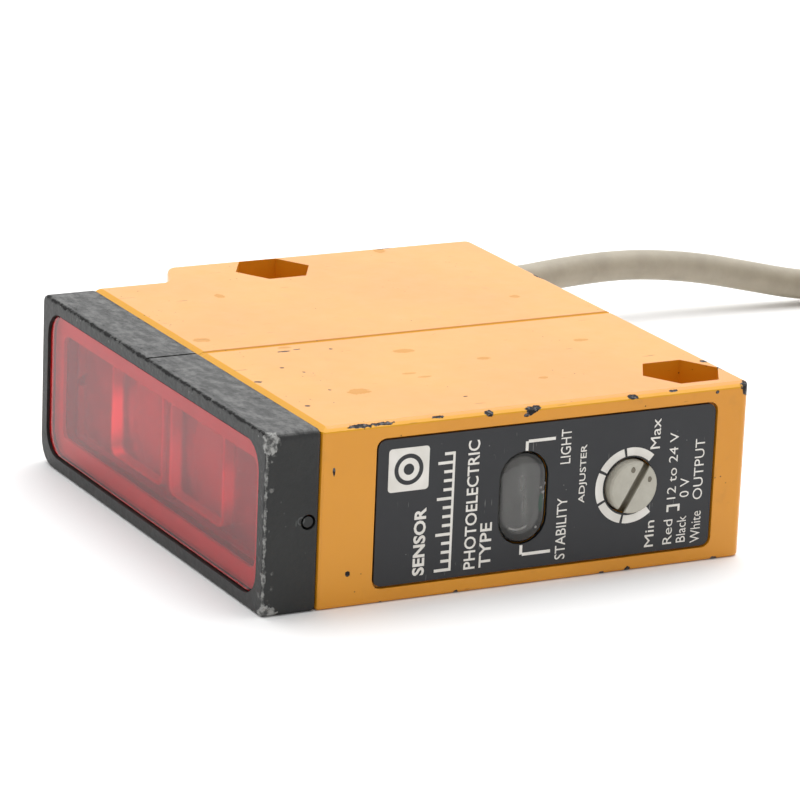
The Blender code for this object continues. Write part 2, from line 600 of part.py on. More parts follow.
def build_adjuster():
    """The knob, its seal and the potentiometer's rotor turn together about one axis along X."""
    axis = bpy.data.objects.new("adjuster_axis", None)
    axis.location = Vector((NEAR, KNOB_Y, KNOB_Z)) * MM
    bpy.context.collection.objects.link(axis)

    knob_profile = [(0, KNOB_PROUD), (KNOB_RADIUS - 0.2, KNOB_PROUD), (KNOB_RADIUS, KNOB_PROUD - 0.2),
                    (KNOB_RADIUS, -0.95), (2.3, -0.95), (2.3, -1.95), (KNOB_RADIUS, -1.95),
                    (KNOB_RADIUS, -2.25), (3.7, -2.25), (3.7, -3.0), (1.4, -3.0), (1.4, -4.7), (0, -4.7)]
    knob = turned("adjuster_knob", knob_profile, (0, 0, 0), "+X", CREAM)
    groove = slot_tool("knob_slot", 4, 0.45, KNOB_PROUD - 0.9, KNOB_PROUD + 1)
    blade = slot_tool("knob_blade", 1.2, 0.4, -6.2, -4.4)
    cut(knob, groove)
    join(knob, blade)

    section = [(2.72 + 0.38 * math.cos(a), -1.45 + 0.38 * math.sin(a)) for a in
               (2 * math.pi * step / 10 for step in range(10))]
    seal = turned("adjuster_oring", section, (0, 0, 0), "+X", RUBBER, ring=True)

    rotor = turned("pot_rotor", [(0, -5.1), (2.25, -5.1), (2.25, -7.5), (0, -7.5)], (0, 0, 0), "+X", CREAM)
    rotor_slot = slot_tool("rotor_slot", 3, 0.6, -6.5, -4)
    cut(rotor, rotor_slot)
    for piece in (knob, groove, blade, seal, rotor, rotor_slot):
        piece.parent = axis

    case = box("pot_case", (NEAR - 8.6, NEAR - 4.4), (KNOB_Y - 3.0, KNOB_Y + 3.0),
               (PART_Z, KNOB_Z + 3.0), POT_BLUE)
    cut(case, turned("pot_bore", [(0, -7.8), (2.5, -7.8), (2.5, -4), (0, -4)], (NEAR, KNOB_Y, KNOB_Z), "+X"))


# ---- cord -----------------------------------------------------------------------------------
def smooth_path(route, count):
    """Evenly spaced points on a Catmull-Rom curve through the route, close to `count` of them."""
    padded = [2 * Vector(route[0]) - Vector(route[1])] + [Vector(p) for p in route]
    padded.append(2 * Vector(route[-1]) - Vector(route[-2]))
    fine = []
    for a, b, c, d in zip(padded, padded[1:], padded[2:], padded[3:]):
        for step in range(20):
            t = step / 20
            fine.append(0.5 * (2 * b + (c - a) * t + (2 * a - 5 * b + 4 * c - d) * t ** 2
                               + (3 * b - a - 3 * c + d) * t ** 3))
    fine.append(padded[-2])
    lengths = [0.0]
    for first, second in zip(fine, fine[1:]):
        lengths.append(lengths[-1] + (second - first).length)
    path, index = [], 0
    for step in range(count):
        wanted = lengths[-1] * step / (count - 1)
        while index < len(fine) - 2 and lengths[index + 1] < wanted:
            index += 1
        share = (wanted - lengths[index]) / (lengths[index + 1] - lengths[index])
        path.append(fine[index].lerp(fine[index + 1], share))
    return path


def coil_point(radius, angle, height):
    return (COIL_CENTRE[0] + radius * math.cos(angle), COIL_CENTRE[1] + radius * math.sin(angle), height)


def build_cord_entry():
    """The moulded bushing in the case wall and the end of the cord inside it."""
    place = (FAR, CORD_Y, CORD_Z)
    bushing = [(2.3, -BUSHING_NOSE), (2.8, -BUSHING_NOSE), (3.4, -1.3), (4.2, -1.3), (4.2, -GAP), (3.2, -GAP),
               (3.2, WALL + GAP), (4.1, WALL + GAP), (4.1, 3.4), (2.3, 3.4)]
    turned("cable_bushing", bushing, place, "+X", RUBBER, steps=24, ring=True)
    radius = CORD_DIAMETER / 2
    sheath_end = 9.2
    inner = [(0, -BUSHING_NOSE), (radius, -BUSHING_NOSE), (radius, sheath_end), (0, sheath_end)]
    turned("cable_inner", inner,
           place, "+X", SHEATH, steps=20)

    collar = [(2.3, 4.4), (3.1, 4.4), (3.1, 6.8), (2.3, 6.8)]
    clamp = turned("cable_clamp", collar, place, "+X", STEEL, steps=20, ring=True)
    join(clamp, box("clamp_foot", (FAR + 4.4, FAR + 6.8), (CORD_Y - 1.2, CORD_Y + 1.2),
                    (PART_Z, CORD_Z - 2.6)))

    cores = {"wire_red": (WIRE_RED, 0.9, 0.0, 20.4), "wire_black": (WIRE_BLACK, -0.5, 0.85, 17.9),
             "wire_white": (WIRE_WHITE, -0.5, -0.85, 15.4)}
    start = FAR + sheath_end + GAP
    for name, (colour, rise, aside, pad_y) in cores.items():
        route = [(start, CORD_Y + aside, CORD_Z + rise), (start + 2.0, CORD_Y + aside, CORD_Z + rise),
                 (start + 6.0, (CORD_Y + aside + pad_y) / 2, CORD_Z + rise - 1.2),
                 (start + 9.0, pad_y, PART_Z + 1.6),
                 (start + 9.6, pad_y, PART_Z + 0.2)]
        tube(name, smooth_path(route, 12), 0.5, colour)


def build_cord():
    """The free cord: down to the surface, along it, and into a tied coil of the rest of its two metres."""
    radius = CORD_DIAMETER / 2
    start = FAR - BUSHING_NOSE - GAP
    route = [(start, CORD_Y, CORD_Z)]
    for step, (x, y) in enumerate(arc((-41.0, CORD_Y + CORD_BEND), CORD_BEND, 270, 180, 4)):
        route.append((x, y, CORD_Z - 0.05 - 0.34 * step))
    route += [(-57.1, 42.0, 7.1), (-57.8, 50.0, 6.7), (-58.9, 58.0, 7.0),
              (-59.6, 68.0, 7.0), (-59.2, 78.0, 5.9),
              (-58.3, 87.0, 4.0), (-57.4, 95.0, 2.4), (-57.05, 102.6, radius + 0.05)]
    tube("cord_free", smooth_path(route, 22), radius, SHEATH, 2)

    top = COIL_LAYERS * CORD_DIAMETER
    shape = bmesh.new()
    steps, sections = 48, []
    for step in range(steps):
        angle = TIE_ANGLE + 2 * math.pi * step / steps
        base = 1.3 if step in (0, 1, steps - 1) else 0.1
        corners = ((COIL_INNER - radius, base), (COIL_OUTER + radius, base),
                   (COIL_OUTER + radius, top), (COIL_INNER - radius, top))
        sections.append([shape.verts.new(coil_point(r, angle, z)) for r, z in corners])
    for first, second in zip(sections, sections[1:] + sections[:1]):
        for side in range(4):
            following = (side + 1) % 4
            shape.faces.new([first[side], first[following], second[following], second[side]])
    add_object("cord_coil", mesh_from(shape, "cord_coil", False), SHEATH)

    tail_height = top + GAP + radius
    tail = [coil_point(22.0, math.radians(angle), tail_height) for angle in range(300, 149, -10)]
    tube("cord_tail", tail, radius, SHEATH, 2)

    lead_height = top + GAP + 0.6
    leads = {"lead_red": (WIRE_RED, 1.5, 74), "lead_black": (WIRE_BLACK, 0.0, 68),
             "lead_white": (WIRE_WHITE, -1.5, 77)}
    for name, (colour, aside, end) in leads.items():
        angles = [148 - (148 - end) * step / 9 for step in range(10)]
        heights = [max(lead_height, tail_height - 0.5 * step) for step in range(10)]
        path = [coil_point(22.0 + aside * (1 + 0.12 * step), math.radians(a), h)
                for step, (a, h) in enumerate(zip(angles, heights))]
        tube(name, path, 0.55, colour)


def build_tie():
    """A cable tie round the coil's section: a band with its locking head on top."""
    half = TIE_WIDTH / 2
    inner, outer = COIL_INNER - 2.4, COIL_OUTER + 2.4
    low, high, thick = 0.9, COIL_LAYERS * CORD_DIAMETER + GAP, 0.8
    band = box("coil_tie", (inner - thick, outer + thick), (-half, half),
               (low - thick, high + thick), TIE_BLACK)
    hollow = box("tie_inside", (inner, outer), (-half - 1, half + 1), (low, high))
    head = box("tie_head", (19, 23.5), (-half - 0.7, half + 0.7), (high + 0.2, high + 3.4))
    end = box("tie_end", (23, 29), (-half + 0.4, half - 0.4), (high + 1.5, high + 2.3))
    cut(band, hollow)
    join(band, head, end)
    for piece in (band, hollow, head, end):
        piece.location = Vector((*COIL_CENTRE, 0)) * MM
        piece.rotation_euler = (0, 0, TIE_ANGLE)


def main():
    build_housing()
    build_base_cover()
    build_bezel()
    build_optical_block()
    build_optics_board()
    build_main_board()
    build_indicator()
    build_nameplate()
    build_adjuster()
    build_cord_entry()
    build_cord()
    build_tie()


for old in list(bpy.data.objects):
    bpy.data.objects.remove(old)
main()
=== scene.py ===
"""Looks of the photoelectric sensor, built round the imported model.

Lengths in the builders are millimetres in the model's own frame: +X is the side with the plate,
the window faces -Y and +Z is up.
"""

import math

import bmesh
import bpy
from mathutils import Matrix, Vector


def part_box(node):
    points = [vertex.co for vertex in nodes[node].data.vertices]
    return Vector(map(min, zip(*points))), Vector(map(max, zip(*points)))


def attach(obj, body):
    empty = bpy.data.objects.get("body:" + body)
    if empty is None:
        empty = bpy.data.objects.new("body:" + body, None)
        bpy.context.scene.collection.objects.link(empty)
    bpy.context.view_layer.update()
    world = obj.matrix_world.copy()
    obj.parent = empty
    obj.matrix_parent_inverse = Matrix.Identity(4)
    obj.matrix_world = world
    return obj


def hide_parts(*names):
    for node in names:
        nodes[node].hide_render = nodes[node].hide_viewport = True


MM = 0.001
BODY, ADJUSTER = "sensor_body", "adjuster"

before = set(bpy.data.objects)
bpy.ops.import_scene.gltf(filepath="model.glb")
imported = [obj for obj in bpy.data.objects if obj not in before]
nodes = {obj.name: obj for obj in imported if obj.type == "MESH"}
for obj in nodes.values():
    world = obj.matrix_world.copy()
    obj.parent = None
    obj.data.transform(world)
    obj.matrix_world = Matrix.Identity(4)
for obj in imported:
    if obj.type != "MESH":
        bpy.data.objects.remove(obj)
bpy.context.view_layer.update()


def box_mm(node):
    low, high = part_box(node)
    return low / MM, high / MM


CASE_LOW, CASE_HIGH = box_mm("housing")
BEZEL_LOW, BEZEL_HIGH = box_mm("front_bezel")
WINDOW_LOW, WINDOW_HIGH = box_mm("filter_window")
PLATE_FACE = box_mm("nameplate")[1].x
KNOB_LOW, KNOB_HIGH = box_mm("adjuster_knob")
INDICATOR_LOW, INDICATOR_HIGH = box_mm("indicator_lens")
NEAR, FAR, REAR, TOP = CASE_HIGH.x, CASE_LOW.x, CASE_HIGH.y, CASE_HIGH.z
FRONT = BEZEL_LOW.y
SEAM = BEZEL_HIGH.y
KNOB_Y, KNOB_Z = (KNOB_LOW.y + KNOB_HIGH.y) / 2, (KNOB_LOW.z + KNOB_HIGH.z) / 2
SLOT_ANGLE = 59.4               # the adjuster's slot, from +Y towards +Z
LENS_AXIS_X, LENS_OFFSET = NEAR - 30.6, 7.9    # optical axis, and each lens's distance from it
LENS_Y = (INDICATOR_LOW.y + INDICATOR_HIGH.y) / 2      # the indicator window's middle
LENS_Z = (INDICATOR_LOW.z + INDICATOR_HIGH.z) / 2


# ---- camera, light and floor ----------------------------------------------------------------
SKY_BRIGHT_SIDE = Vector((-0.85, 0.45, 0.45)).normalized()
SKY_DIM, SKY_BRIGHT = 0.52, 1.30


def make_camera():
    data = bpy.data.cameras.new("camera")
    data.sensor_width, data.lens = 36, 196.6
    data.clip_start, data.clip_end = 0.01, 30
    camera = bpy.data.objects.new("camera", data)
    bpy.context.scene.collection.objects.link(camera)
    right = Vector((0.45877, 0.88767, 0.03965))
    up = Vector((-0.26839, 0.09590, 0.95853))
    turn = Matrix((right, up, right.cross(up))).transposed()
    camera.matrix_world = Matrix.Translation((0.41948, -0.21985, 0.15132)) @ turn.to_4x4()
    bpy.context.scene.camera = camera


def area_light(name, place, target, size, power, colour=(1, 1, 1)):
    data = bpy.data.lights.new(name, "AREA")
    data.shape, data.size, data.size_y = "RECTANGLE", *size
    data.energy, data.color = power, colour
    light = bpy.data.objects.new(name, data)
    bpy.context.scene.collection.objects.link(light)
    light.location = place
    light.rotation_euler = (Vector(target) - Vector(place)).to_track_quat("-Z", "Y").to_euler()


def make_studio():
    scene = bpy.context.scene
    scene.view_settings.view_transform = "Standard"
    world = bpy.data.worlds.new("studio")
    world.use_nodes = True
    tree = world.node_tree
    sky = tree.nodes["Background"]
    sky.inputs["Color"].default_value = (1, 1, 1, 1)
    place = tree.nodes.new("ShaderNodeTexCoord")
    facing = tree.nodes.new("ShaderNodeVectorMath")
    facing.operation = "DOT_PRODUCT"
    facing.inputs[1].default_value = SKY_BRIGHT_SIDE
    bright = tree.nodes.new("ShaderNodeMapRange")
    bright.interpolation_type = "SMOOTHSTEP"
    span = {"From Min": -0.3, "From Max": 0.85, "To Min": SKY_DIM, "To Max": SKY_BRIGHT}
    for key, value in span.items():
        bright.inputs[key].default_value = value
    tree.links.new(place.outputs["Generated"], facing.inputs[0])
    tree.links.new(facing.outputs["Value"], bright.inputs["Value"])
    tree.links.new(bright.outputs[0], sky.inputs["Strength"])
    scene.world = world
    area_light("overhead", (-0.2, 0.15, 0.9), (0, 0.02, 0), (0.9, 0.9), 6.5)

    floor = Look("floor_paper", (0.95, 0.95, 0.95), 0.9)
    patch = floor.noise(0.02, detail=2)
    floor.colour(floor.mix(patch, (0.94, 0.94, 0.94), (0.97, 0.97, 0.97)))
    shape = bmesh.new()
    corners = [shape.verts.new((x * 6, y * 6, -0.00001)) for x, y in ((-1, -1), (1, -1), (1, 1), (-1, 1))]
    shape.faces.new(corners)
    mesh = bpy.data.meshes.new("floor")
    shape.to_mesh(mesh)
    shape.free()
    ground = bpy.data.objects.new("floor", mesh)
    scene.collection.objects.link(ground)
    mesh.materials.append(floor.material)


# ---- materials ------------------------------------------------------------------------------
class Look:
    """A material round one Principled shader.  Its textures are laid out in millimetres."""

    def __init__(self, name, colour, roughness, **sockets):
        self.material = bpy.data.materials.new(name)
        self.material.use_nodes = True
        self.tree = self.material.node_tree
        self.shader = self.tree.nodes["Principled BSDF"]
        self.shader.inputs["Base Color"].default_value = (*colour, 1)
        self.shader.inputs["Roughness"].default_value = roughness
        for key, value in sockets.items():
            self.shader.inputs[key.replace("_", " ")].default_value = value
        place = self.add("TexCoord").outputs["Object"]
        self.mm = self.add("VectorMath", {0: place, "Scale": 1 / MM}, operation="SCALE").outputs[0]
        self.height = None

    def add(self, kind, inputs=None, **settings):
        node = self.tree.nodes.new("ShaderNode" + kind)
        for key, value in settings.items():
            setattr(node, key, value)
        for key, value in (inputs or {}).items():
            if isinstance(value, bpy.types.NodeSocket):
                self.tree.links.new(value, node.inputs[key])
            else:
                node.inputs[key].default_value = value
        return node

    def math(self, operation, a, b=0.0, clamp=False):
        return self.add("Math", {0: a, 1: b}, operation=operation, use_clamp=clamp).outputs[0]

    def stretched(self, x, y, z, shift=(0, 0, 0)):
        """The position with each axis scaled, for streaks."""
        scaled = self.add("VectorMath", {0: self.mm, 1: (x, y, z)}, operation="MULTIPLY").outputs[0]
        return self.add("VectorMath", {0: scaled, 1: shift}, operation="ADD").outputs[0]

    def noise(self, scale, detail=3.0, roughness=0.5, place=None):
        inputs = {"Vector": place or self.mm, "Scale": scale, "Detail": detail, "Roughness": roughness}
        return self.add("TexNoise", inputs).outputs[0]

    def cells(self, scale, place=None):
        return self.add("TexVoronoi", {"Vector": place or self.mm, "Scale": scale}).outputs["Distance"]

    def between(self, value, low, high):
        """0 below `low`, 1 above `high`, smooth in between; `low` above `high` turns it round."""
        node = self.add("MapRange", {"Value": value}, interpolation_type="SMOOTHSTEP")
        if low > high:
            low, high = high, low
            node.inputs["To Min"].default_value, node.inputs["To Max"].default_value = 1, 0
        node.inputs["From Min"].default_value, node.inputs["From Max"].default_value = low, high
        return node.outputs[0]

    def mix(self, share, a, b):
        node = self.add("Mix", data_type="RGBA")
        for key, value in ((0, share), (6, a), (7, b)):
            if isinstance(value, bpy.types.NodeSocket):
                self.tree.links.new(value, node.inputs[key])
            else:
                node.inputs[key].default_value = (*value, 1) if key else value
        return node.outputs[2]

    def spot(self, centre, size, ragged=0.5, grain=1.6, soft=0.06):
        """1 inside a ragged patch about `centre` with half-widths `size`, 0 outside."""
        inverse = [1 / s for s in size]
        away = self.add("VectorMath", {0: self.mm, 1: centre}, operation="SUBTRACT").outputs[0]
        away = self.add("VectorMath", {0: away, 1: inverse}, operation="MULTIPLY").outputs[0]
        distance = self.add("VectorMath", {0: away}, operation="LENGTH").outputs["Value"]
        wander = self.math("MULTIPLY", self.math("SUBTRACT", self.noise(grain, 4, 0.6), 0.5), 2 * ragged)
        return self.between(self.math("ADD", distance, wander), 1 + soft, 1 - soft)

    def ring(self, centre, radius, half_width, start=0, end=360):
        """1 on a thin ring about `centre` in a plane across X, as far as its angle is in range."""
        away = self.add("VectorMath", {0: self.mm, 1: centre}, operation="SUBTRACT").outputs[0]
        part = self.add("SeparateXYZ", {0: away}).outputs
        distance = self.math("SQRT", self.math("ADD", self.math("MULTIPLY", part[1], part[1]),
                                               self.math("MULTIPLY", part[2], part[2])))
        off = self.math("ABSOLUTE", self.math("SUBTRACT", distance, radius))
        mask = self.both(self.between(off, 1.3 * half_width, 0.6 * half_width),
                         self.between(self.math("ABSOLUTE", part[0]), 0.6, 0.4))
        if end - start < 360:
            turned = self.math("ARCTAN2", part[2], part[1])
            middle, half = math.radians((start + end) / 2), math.radians((end - start) / 2)
            aside = self.math("ABSOLUTE", self.math("SUBTRACT", turned, middle))
            mask = self.both(mask, self.between(aside, half, 0.6 * half))
        return mask

    def both(self, a, b):
        return self.math("MULTIPLY", a, b)

    def any_of(self, masks):
        total = masks[0]
        for mask in masks[1:]:
            total = self.math("MAXIMUM", total, mask)
        return total

    def axis(self, index):
        return self.add("SeparateXYZ", {0: self.mm}).outputs[index]

    def colour(self, value):
        self.tree.links.new(value, self.shader.inputs["Base Color"])

    def roughness(self, value):
        self.tree.links.new(value, self.shader.inputs["Roughness"])

    def glossy(self, value, spread, least):
        """Roughness that varies with `value` from `least` over `spread`."""
        gloss = self.math("MULTIPLY_ADD", value, spread)
        gloss.node.inputs[2].default_value = least
        self.roughness(gloss)

    def metallic(self, value):
        self.tree.links.new(value, self.shader.inputs["Metallic"])

    def raise_by(self, value, millimetres):
        """Add a height field, 0 to 1, of that real height."""
        part = self.math("MULTIPLY", value, millimetres * MM)
        self.height = part if self.height is None else self.math("ADD", self.height, part)

    def finish(self):
        if self.height is not None:
            bump = self.add("Bump", {"Height": self.height, "Distance": 1.0})
            self.tree.links.new(bump.outputs[0], self.shader.inputs["Normal"])
        return self.material


PAINT = (0.745, 0.305, 0.009)
PAINT_DARK = (0.69, 0.270, 0.006)
# the colour of the painted shade on the groove, the front chamfer and the top edge
PAINTED_SHADE_GOLD = (0.70, 0.33, 0.004)
COAT = 0.65
GRIME = (0.22, 0.12, 0.03)
BARE_DARK, BARE_LIGHT = (0.010, 0.009, 0.010), (0.12, 0.115, 0.12)
GROOVE_X = LENS_AXIS_X


def yellow_paint():
    look = Look("yellow_paint", PAINT, 0.42, Coat_Weight=COAT, Coat_Roughness=0.32, Specular_IOR_Level=0.22)
    x, y, z = (look.axis(i) for i in range(3))
    on_top = look.between(z, TOP - 0.3, TOP - 0.05)
    fine = look.noise(0.5, 4, 0.6)
    colour = look.mix(look.between(look.noise(0.05, 3), 0.3, 0.7), PAINT_DARK, PAINT)
    grime = look.both(look.between(fine, 0.52, 0.75), look.between(look.noise(0.11, 2), 0.45, 0.7))
    colour = look.mix(look.math("MULTIPLY", grime, 0.2), colour, GRIME)
    # painted shade: deeper, golden colour on the groove, the front chamfer and the long top edge, where
    # these faces take less of the sky's sheen
    groove = look.between(look.math("ABSOLUTE", look.math("SUBTRACT", x, GROOVE_X)), 0.5, 0.2)
    groove = look.both(groove, look.between(z, TOP - 0.6, TOP - 0.4))
    high = look.between(z, TOP - 0.6, TOP - 0.5)
    chamfer = look.both(look.between(y, SEAM + 1.0, SEAM + 0.8), high)
    rim = look.both(look.between(x, NEAR - 0.6, NEAR - 0.4), high)
    painted_shade_lines = look.math("MULTIPLY", look.any_of([groove, chamfer, rim]), 0.85)
    colour = look.mix(painted_shade_lines, colour, PAINTED_SHADE_GOLD)
    # faded stains and dark strokes on the top: place, half-lengths along X and Y
    stains = [((8.4, -1.1), (0.7, 1.3)), ((16.6, -4.7), (0.35, 0.8)), ((18.3, -3.6), (0.3, 0.9)),
              ((-19.4, -10.6), (0.8, 0.6)), ((-3.0, -20.4), (0.8, 1.0)), ((-31.9, 16.5), (0.9, 0.7)),
              ((14.0, 6.0), (0.5, 0.8)), ((23.0, 8.5), (0.4, 0.6)), ((21.0, -13.0), (1.0, 1.3)),
              ((2.8, -13.0), (0.4, 0.9)), ((11.0, 20.0), (0.5, 0.9)), ((-8.0, 22.0), (0.6, 0.6))]
    stain = look.any_of([look.spot((*c, TOP), (*r, 1), 0.6, 1.2) for c, r in stains])
    colour = look.mix(look.math("MULTIPLY", stain, 0.5), colour, (0.44, 0.20, 0.006))
    strokes = [((4.2, -13.8), (0.24, 0.8)), ((3.9, -12.0), (0.16, 0.4)), ((5.0, -8.4), (0.22, 0.22)),
               ((10.0, -16.8), (0.22, 0.25)), ((12.3, -15.3), (0.16, 0.16)), ((19.4, -15.7), (0.2, 0.2)),
               ((14.1, -21.6), (0.35, 0.45)), ((24.0, -20.6), (0.3, 0.3)), ((26.5, -3.0), (0.15, 0.3))]
    stroke = look.any_of([look.spot((*c, TOP), (*r, 1), 0.9, 1.8) for c, r in strokes])
    # dark specks, thickest beside the bezel, and fine scratches
    near_seam = look.both(look.between(y, SEAM + 10, SEAM), on_top)
    field = look.math("ADD", look.noise(0.16, 2), look.math("MULTIPLY", near_seam, 0.09))
    speck = look.both(look.between(look.cells(0.9), 0.11, 0.05), look.between(field, 0.57, 0.62))
    scratch = look.noise(1.0, 2, 0.5, look.stretched(2.2, 0.22, 2.0))
    scratch = look.both(look.between(scratch, 0.69, 0.73), look.between(look.noise(0.2, 2), 0.5, 0.58))
    marks = look.any_of([stroke, look.math("MULTIPLY", speck, 0.85), look.math("MULTIPLY", scratch, 0.45)])
    colour = look.mix(look.math("MULTIPLY", marks, 0.95), colour, (0.04, 0.018, 0.006))

    # chips down to the dark casting: places along the edges of the plate's side, then the others
    edge = NEAR - 0.25
    chips = [((edge, FRONT + along, TOP - drop), (0.45, half, tall)) for along, half, drop, tall in (
        (11.2, 1.9, 0.14, 0.24), (13.8, 1.4, 0.10, 0.26), (20.1, 0.95, 0.10, 0.2),
        (26.2, 0.5, 0.3, 0.42), (31.2, 0.75, 0.55, 0.42), (32.0, 0.5, 0.2, 0.5),
        (30.7, 0.35, 0.9, 0.3), (43.9, 0.65, 0.25, 0.28), (49.1, 0.8, 0.1, 0.18),
        (36.4, 0.3, 0.1, 0.12), (54.4, 0.22, 0.7, 0.2))]
    chips += [((NEAR, FRONT + along, 0), (0.4, half, tall)) for along, half, tall in (
        (23.1, 0.32, 0.35), (41.1, 0.4, 0.3), (44.2, 0.35, 0.5), (55.2, 0.5, 0.35), (14.0, 0.2, 0.2))]
    chips += [
        ((NEAR, REAR - 0.2, TOP - 0.4), (0.9, 0.8, 1.1)),
        ((NEAR - 6, REAR, TOP), (0.8, 0.5, 0.4)),
        ((NEAR - 9, REAR - 0.6, TOP), (0.5, 0.4, 0.4)),
        ((NEAR, REAR, 1.2), (0.4, 0.3, 1.0)),
        ((NEAR, FRONT + 9.9, 3.7), (0.5, 0.28, 0.28)),
        ((NEAR, FRONT + 7.9, 15.2), (0.5, 0.14, 0.45)),
        ((FAR, REAR - 12, TOP), (0.6, 1.4, 0.35)),
        ((FAR + 18, REAR, TOP), (1.5, 0.5, 0.3)),
        ((FAR + 34, REAR, 0), (1.1, 0.4, 0.3)),
        ((FAR, REAR, TOP - 0.2), (0.7, 0.7, 0.8)),
    ]
    chip = look.any_of([look.spot(c, s, 0.75, 1.9) for c, s in chips])
    metal = look.mix(look.between(look.noise(2.6, 3), 0.48, 0.62), BARE_DARK, BARE_LIGHT)
    look.colour(look.mix(chip, colour, metal))
    gloss = look.math("ADD", look.math("MULTIPLY", look.noise(0.35, 3), 0.16),
                      look.math("MULTIPLY", chip, 0.2))
    look.glossy(gloss, 1.0, 0.34)
    matt = look.any_of([marks, chip, look.math("MULTIPLY", stain, 0.7), painted_shade_lines])
    look.tree.links.new(look.math("MULTIPLY", look.math("SUBTRACT", 1.0, matt), COAT),
                        look.shader.inputs["Coat Weight"])
    look.raise_by(look.noise(0.55, 2), 0.03)
    look.raise_by(look.noise(2.5, 3), 0.006)
    look.raise_by(chip, -0.10)
    look.raise_by(marks, -0.02)
    look.raise_by(groove, -0.15)
    return look.finish()


def black_paint():
    look = Look("black_paint", (0.02, 0.021, 0.021), 0.45, Specular_IOR_Level=0.36)
    x, y, z = (look.axis(i) for i in range(3))
    on_top = look.between(z, TOP - 0.5, TOP - 0.05)
    worn = look.noise(1.1, 5, 0.7)
    fine = look.noise(1.4, 4, 0.65)
    colour = look.mix(look.noise(0.12, 3), (0.013, 0.014, 0.014), (0.026, 0.027, 0.026))
    # the top: dust rubbed into its dents, and dark notches
    dents = look.noise(0.55, 6, 0.72, look.stretched(0.7, 1.3, 1.0))
    dust = look.both(look.between(dents, 0.42, 0.66), on_top)
    colour = look.mix(look.math("MULTIPLY", dust, 0.7), colour, (0.16, 0.16, 0.155))
    notch = look.both(look.between(dents, 0.37, 0.31), on_top)
    seam_wear = look.between(look.math("ADD", y, look.math("MULTIPLY", worn, 2.4)),
                             SEAM + 0.95, SEAM + 1.15)
    notch = look.any_of([notch, look.math("MULTIPLY", look.both(seam_wear, on_top), 0.8)])
    # a dark broken line along the top front edge, and bare metal along the upright one
    into_top = look.math("ADD", look.math("SUBTRACT", TOP, z), look.math("SUBTRACT", y, FRONT))
    into_top = look.math("SUBTRACT", into_top, look.math("MULTIPLY", worn, 0.7))
    line = look.between(into_top, -0.02, -0.12)
    into_side = look.math("ADD", look.math("SUBTRACT", NEAR, x), look.math("SUBTRACT", y, FRONT))
    edge = look.between(look.math("SUBTRACT", into_side, look.math("MULTIPLY", worn, 0.5)), 0.08, 0.0)
    nicks = look.both(look.between(look.math("SUBTRACT", into_side, worn), 0.9, 0.3),
                      look.between(look.noise(0.9, 3), 0.60, 0.66))
    corner_top = look.spot((NEAR - 0.1, FRONT + 0.5, TOP - 0.7), (1.0, 1.0, 1.5), 0.8, 1.6)
    corner_low = look.spot((NEAR - 0.1, FRONT + 0.5, 0.3), (1.0, 1.2, 1.0), 0.8, 1.6)
    flecks = look.both(look.between(look.cells(1.2), 0.16, 0.07),
                       look.between(look.noise(0.5, 2), 0.57, 0.63))
    edge_flecks = look.both(look.between(look.noise(1.9, 3), 0.66, 0.70),
                            look.between(into_top, 0.8, 0.2))
    colour = look.mix(look.any_of([notch, line]), colour, (0.004, 0.004, 0.004))
    # a faint moulder's mark in the side
    mark = look.ring((NEAR, FRONT + 4.3, 10.2), 0.38, 0.09)
    mark = look.any_of([mark, look.spot((NEAR, FRONT + 3.7, 10.0), (0.4, 0.07, 0.35), 0.3)])
    colour = look.mix(look.math("MULTIPLY", mark, 0.35), colour, (0.16, 0.17, 0.165))
    bare = look.any_of([corner_top, corner_low, look.math("MULTIPLY", edge, 0.8),
                        look.math("MULTIPLY", nicks, 0.5), look.math("MULTIPLY", flecks, 0.25),
                        look.math("MULTIPLY", edge_flecks, 0.7)])
    metal = look.mix(look.between(fine, 0.38, 0.62), (0.08, 0.08, 0.078), (0.36, 0.36, 0.345))
    look.colour(look.mix(bare, colour, metal))
    look.metallic(look.math("MULTIPLY", bare, 0.4))
    look.glossy(look.math("ADD", fine, look.math("MULTIPLY", look.any_of([notch, line]), 2.0)), 0.2, 0.36)
    look.raise_by(look.noise(0.8, 3), 0.05)
    look.raise_by(dents, 0.16)
    look.raise_by(look.any_of([notch, line]), -0.12)
    look.raise_by(bare, -0.05)
    look.raise_by(mark, -0.03)
    return look.finish()


def moulded(name, colour, other, roughness, grain=0.8, height=0.012, **sockets):
    """Moulded plastic, rubber or sheath: slight mottling and a fine grain."""
    look = Look(name, colour, roughness, **sockets)
    look.colour(look.mix(look.between(look.noise(0.25, 4, 0.6), 0.3, 0.7), colour, other))
    look.glossy(look.noise(grain, 3), 0.14, roughness - 0.07)
    look.raise_by(look.noise(grain, 3), height)
    return look.finish()


def brushed(name, colour, other, roughness):
    """Bare metal with fine turning marks."""
    look = Look(name, colour, roughness, Metallic=1.0)
    streaks = look.noise(1.0, 4, 0.6, look.stretched(3.0, 0.6, 3.0))
    look.colour(look.mix(streaks, colour, other))
    look.glossy(streaks, 0.2, roughness - 0.1)
    look.raise_by(streaks, 0.01)
    return look.finish()


def red_filter():
    look = Look("red_filter", (0.95, 0.02, 0.035), 0.08, Transmission_Weight=1.0, IOR=1.44)
    look.colour(look.mix(look.noise(0.08, 2), (0.90, 0.015, 0.03), (0.97, 0.03, 0.05)))
    dust = look.both(look.between(look.cells(0.5), 0.05, 0.02), look.between(look.noise(0.2, 2), 0.5, 0.6))
    haze = look.math("ADD", look.math("MULTIPLY", look.noise(0.3, 4, 0.6), 0.08), dust)
    look.glossy(haze, 1.0, 0.04)
    look.raise_by(look.noise(0.15, 2), 0.02)
    return look.finish()


def clear_plastic(name, colour, other, clearness):
    look = Look(name, colour, 0.06, Transmission_Weight=clearness, IOR=1.49)
    look.glossy(look.noise(0.8, 4, 0.6), 0.16, 0.02)
    look.colour(look.mix(look.noise(0.3, 2), colour, other))
    look.raise_by(look.noise(0.4, 3), 0.03)
    return look.finish()


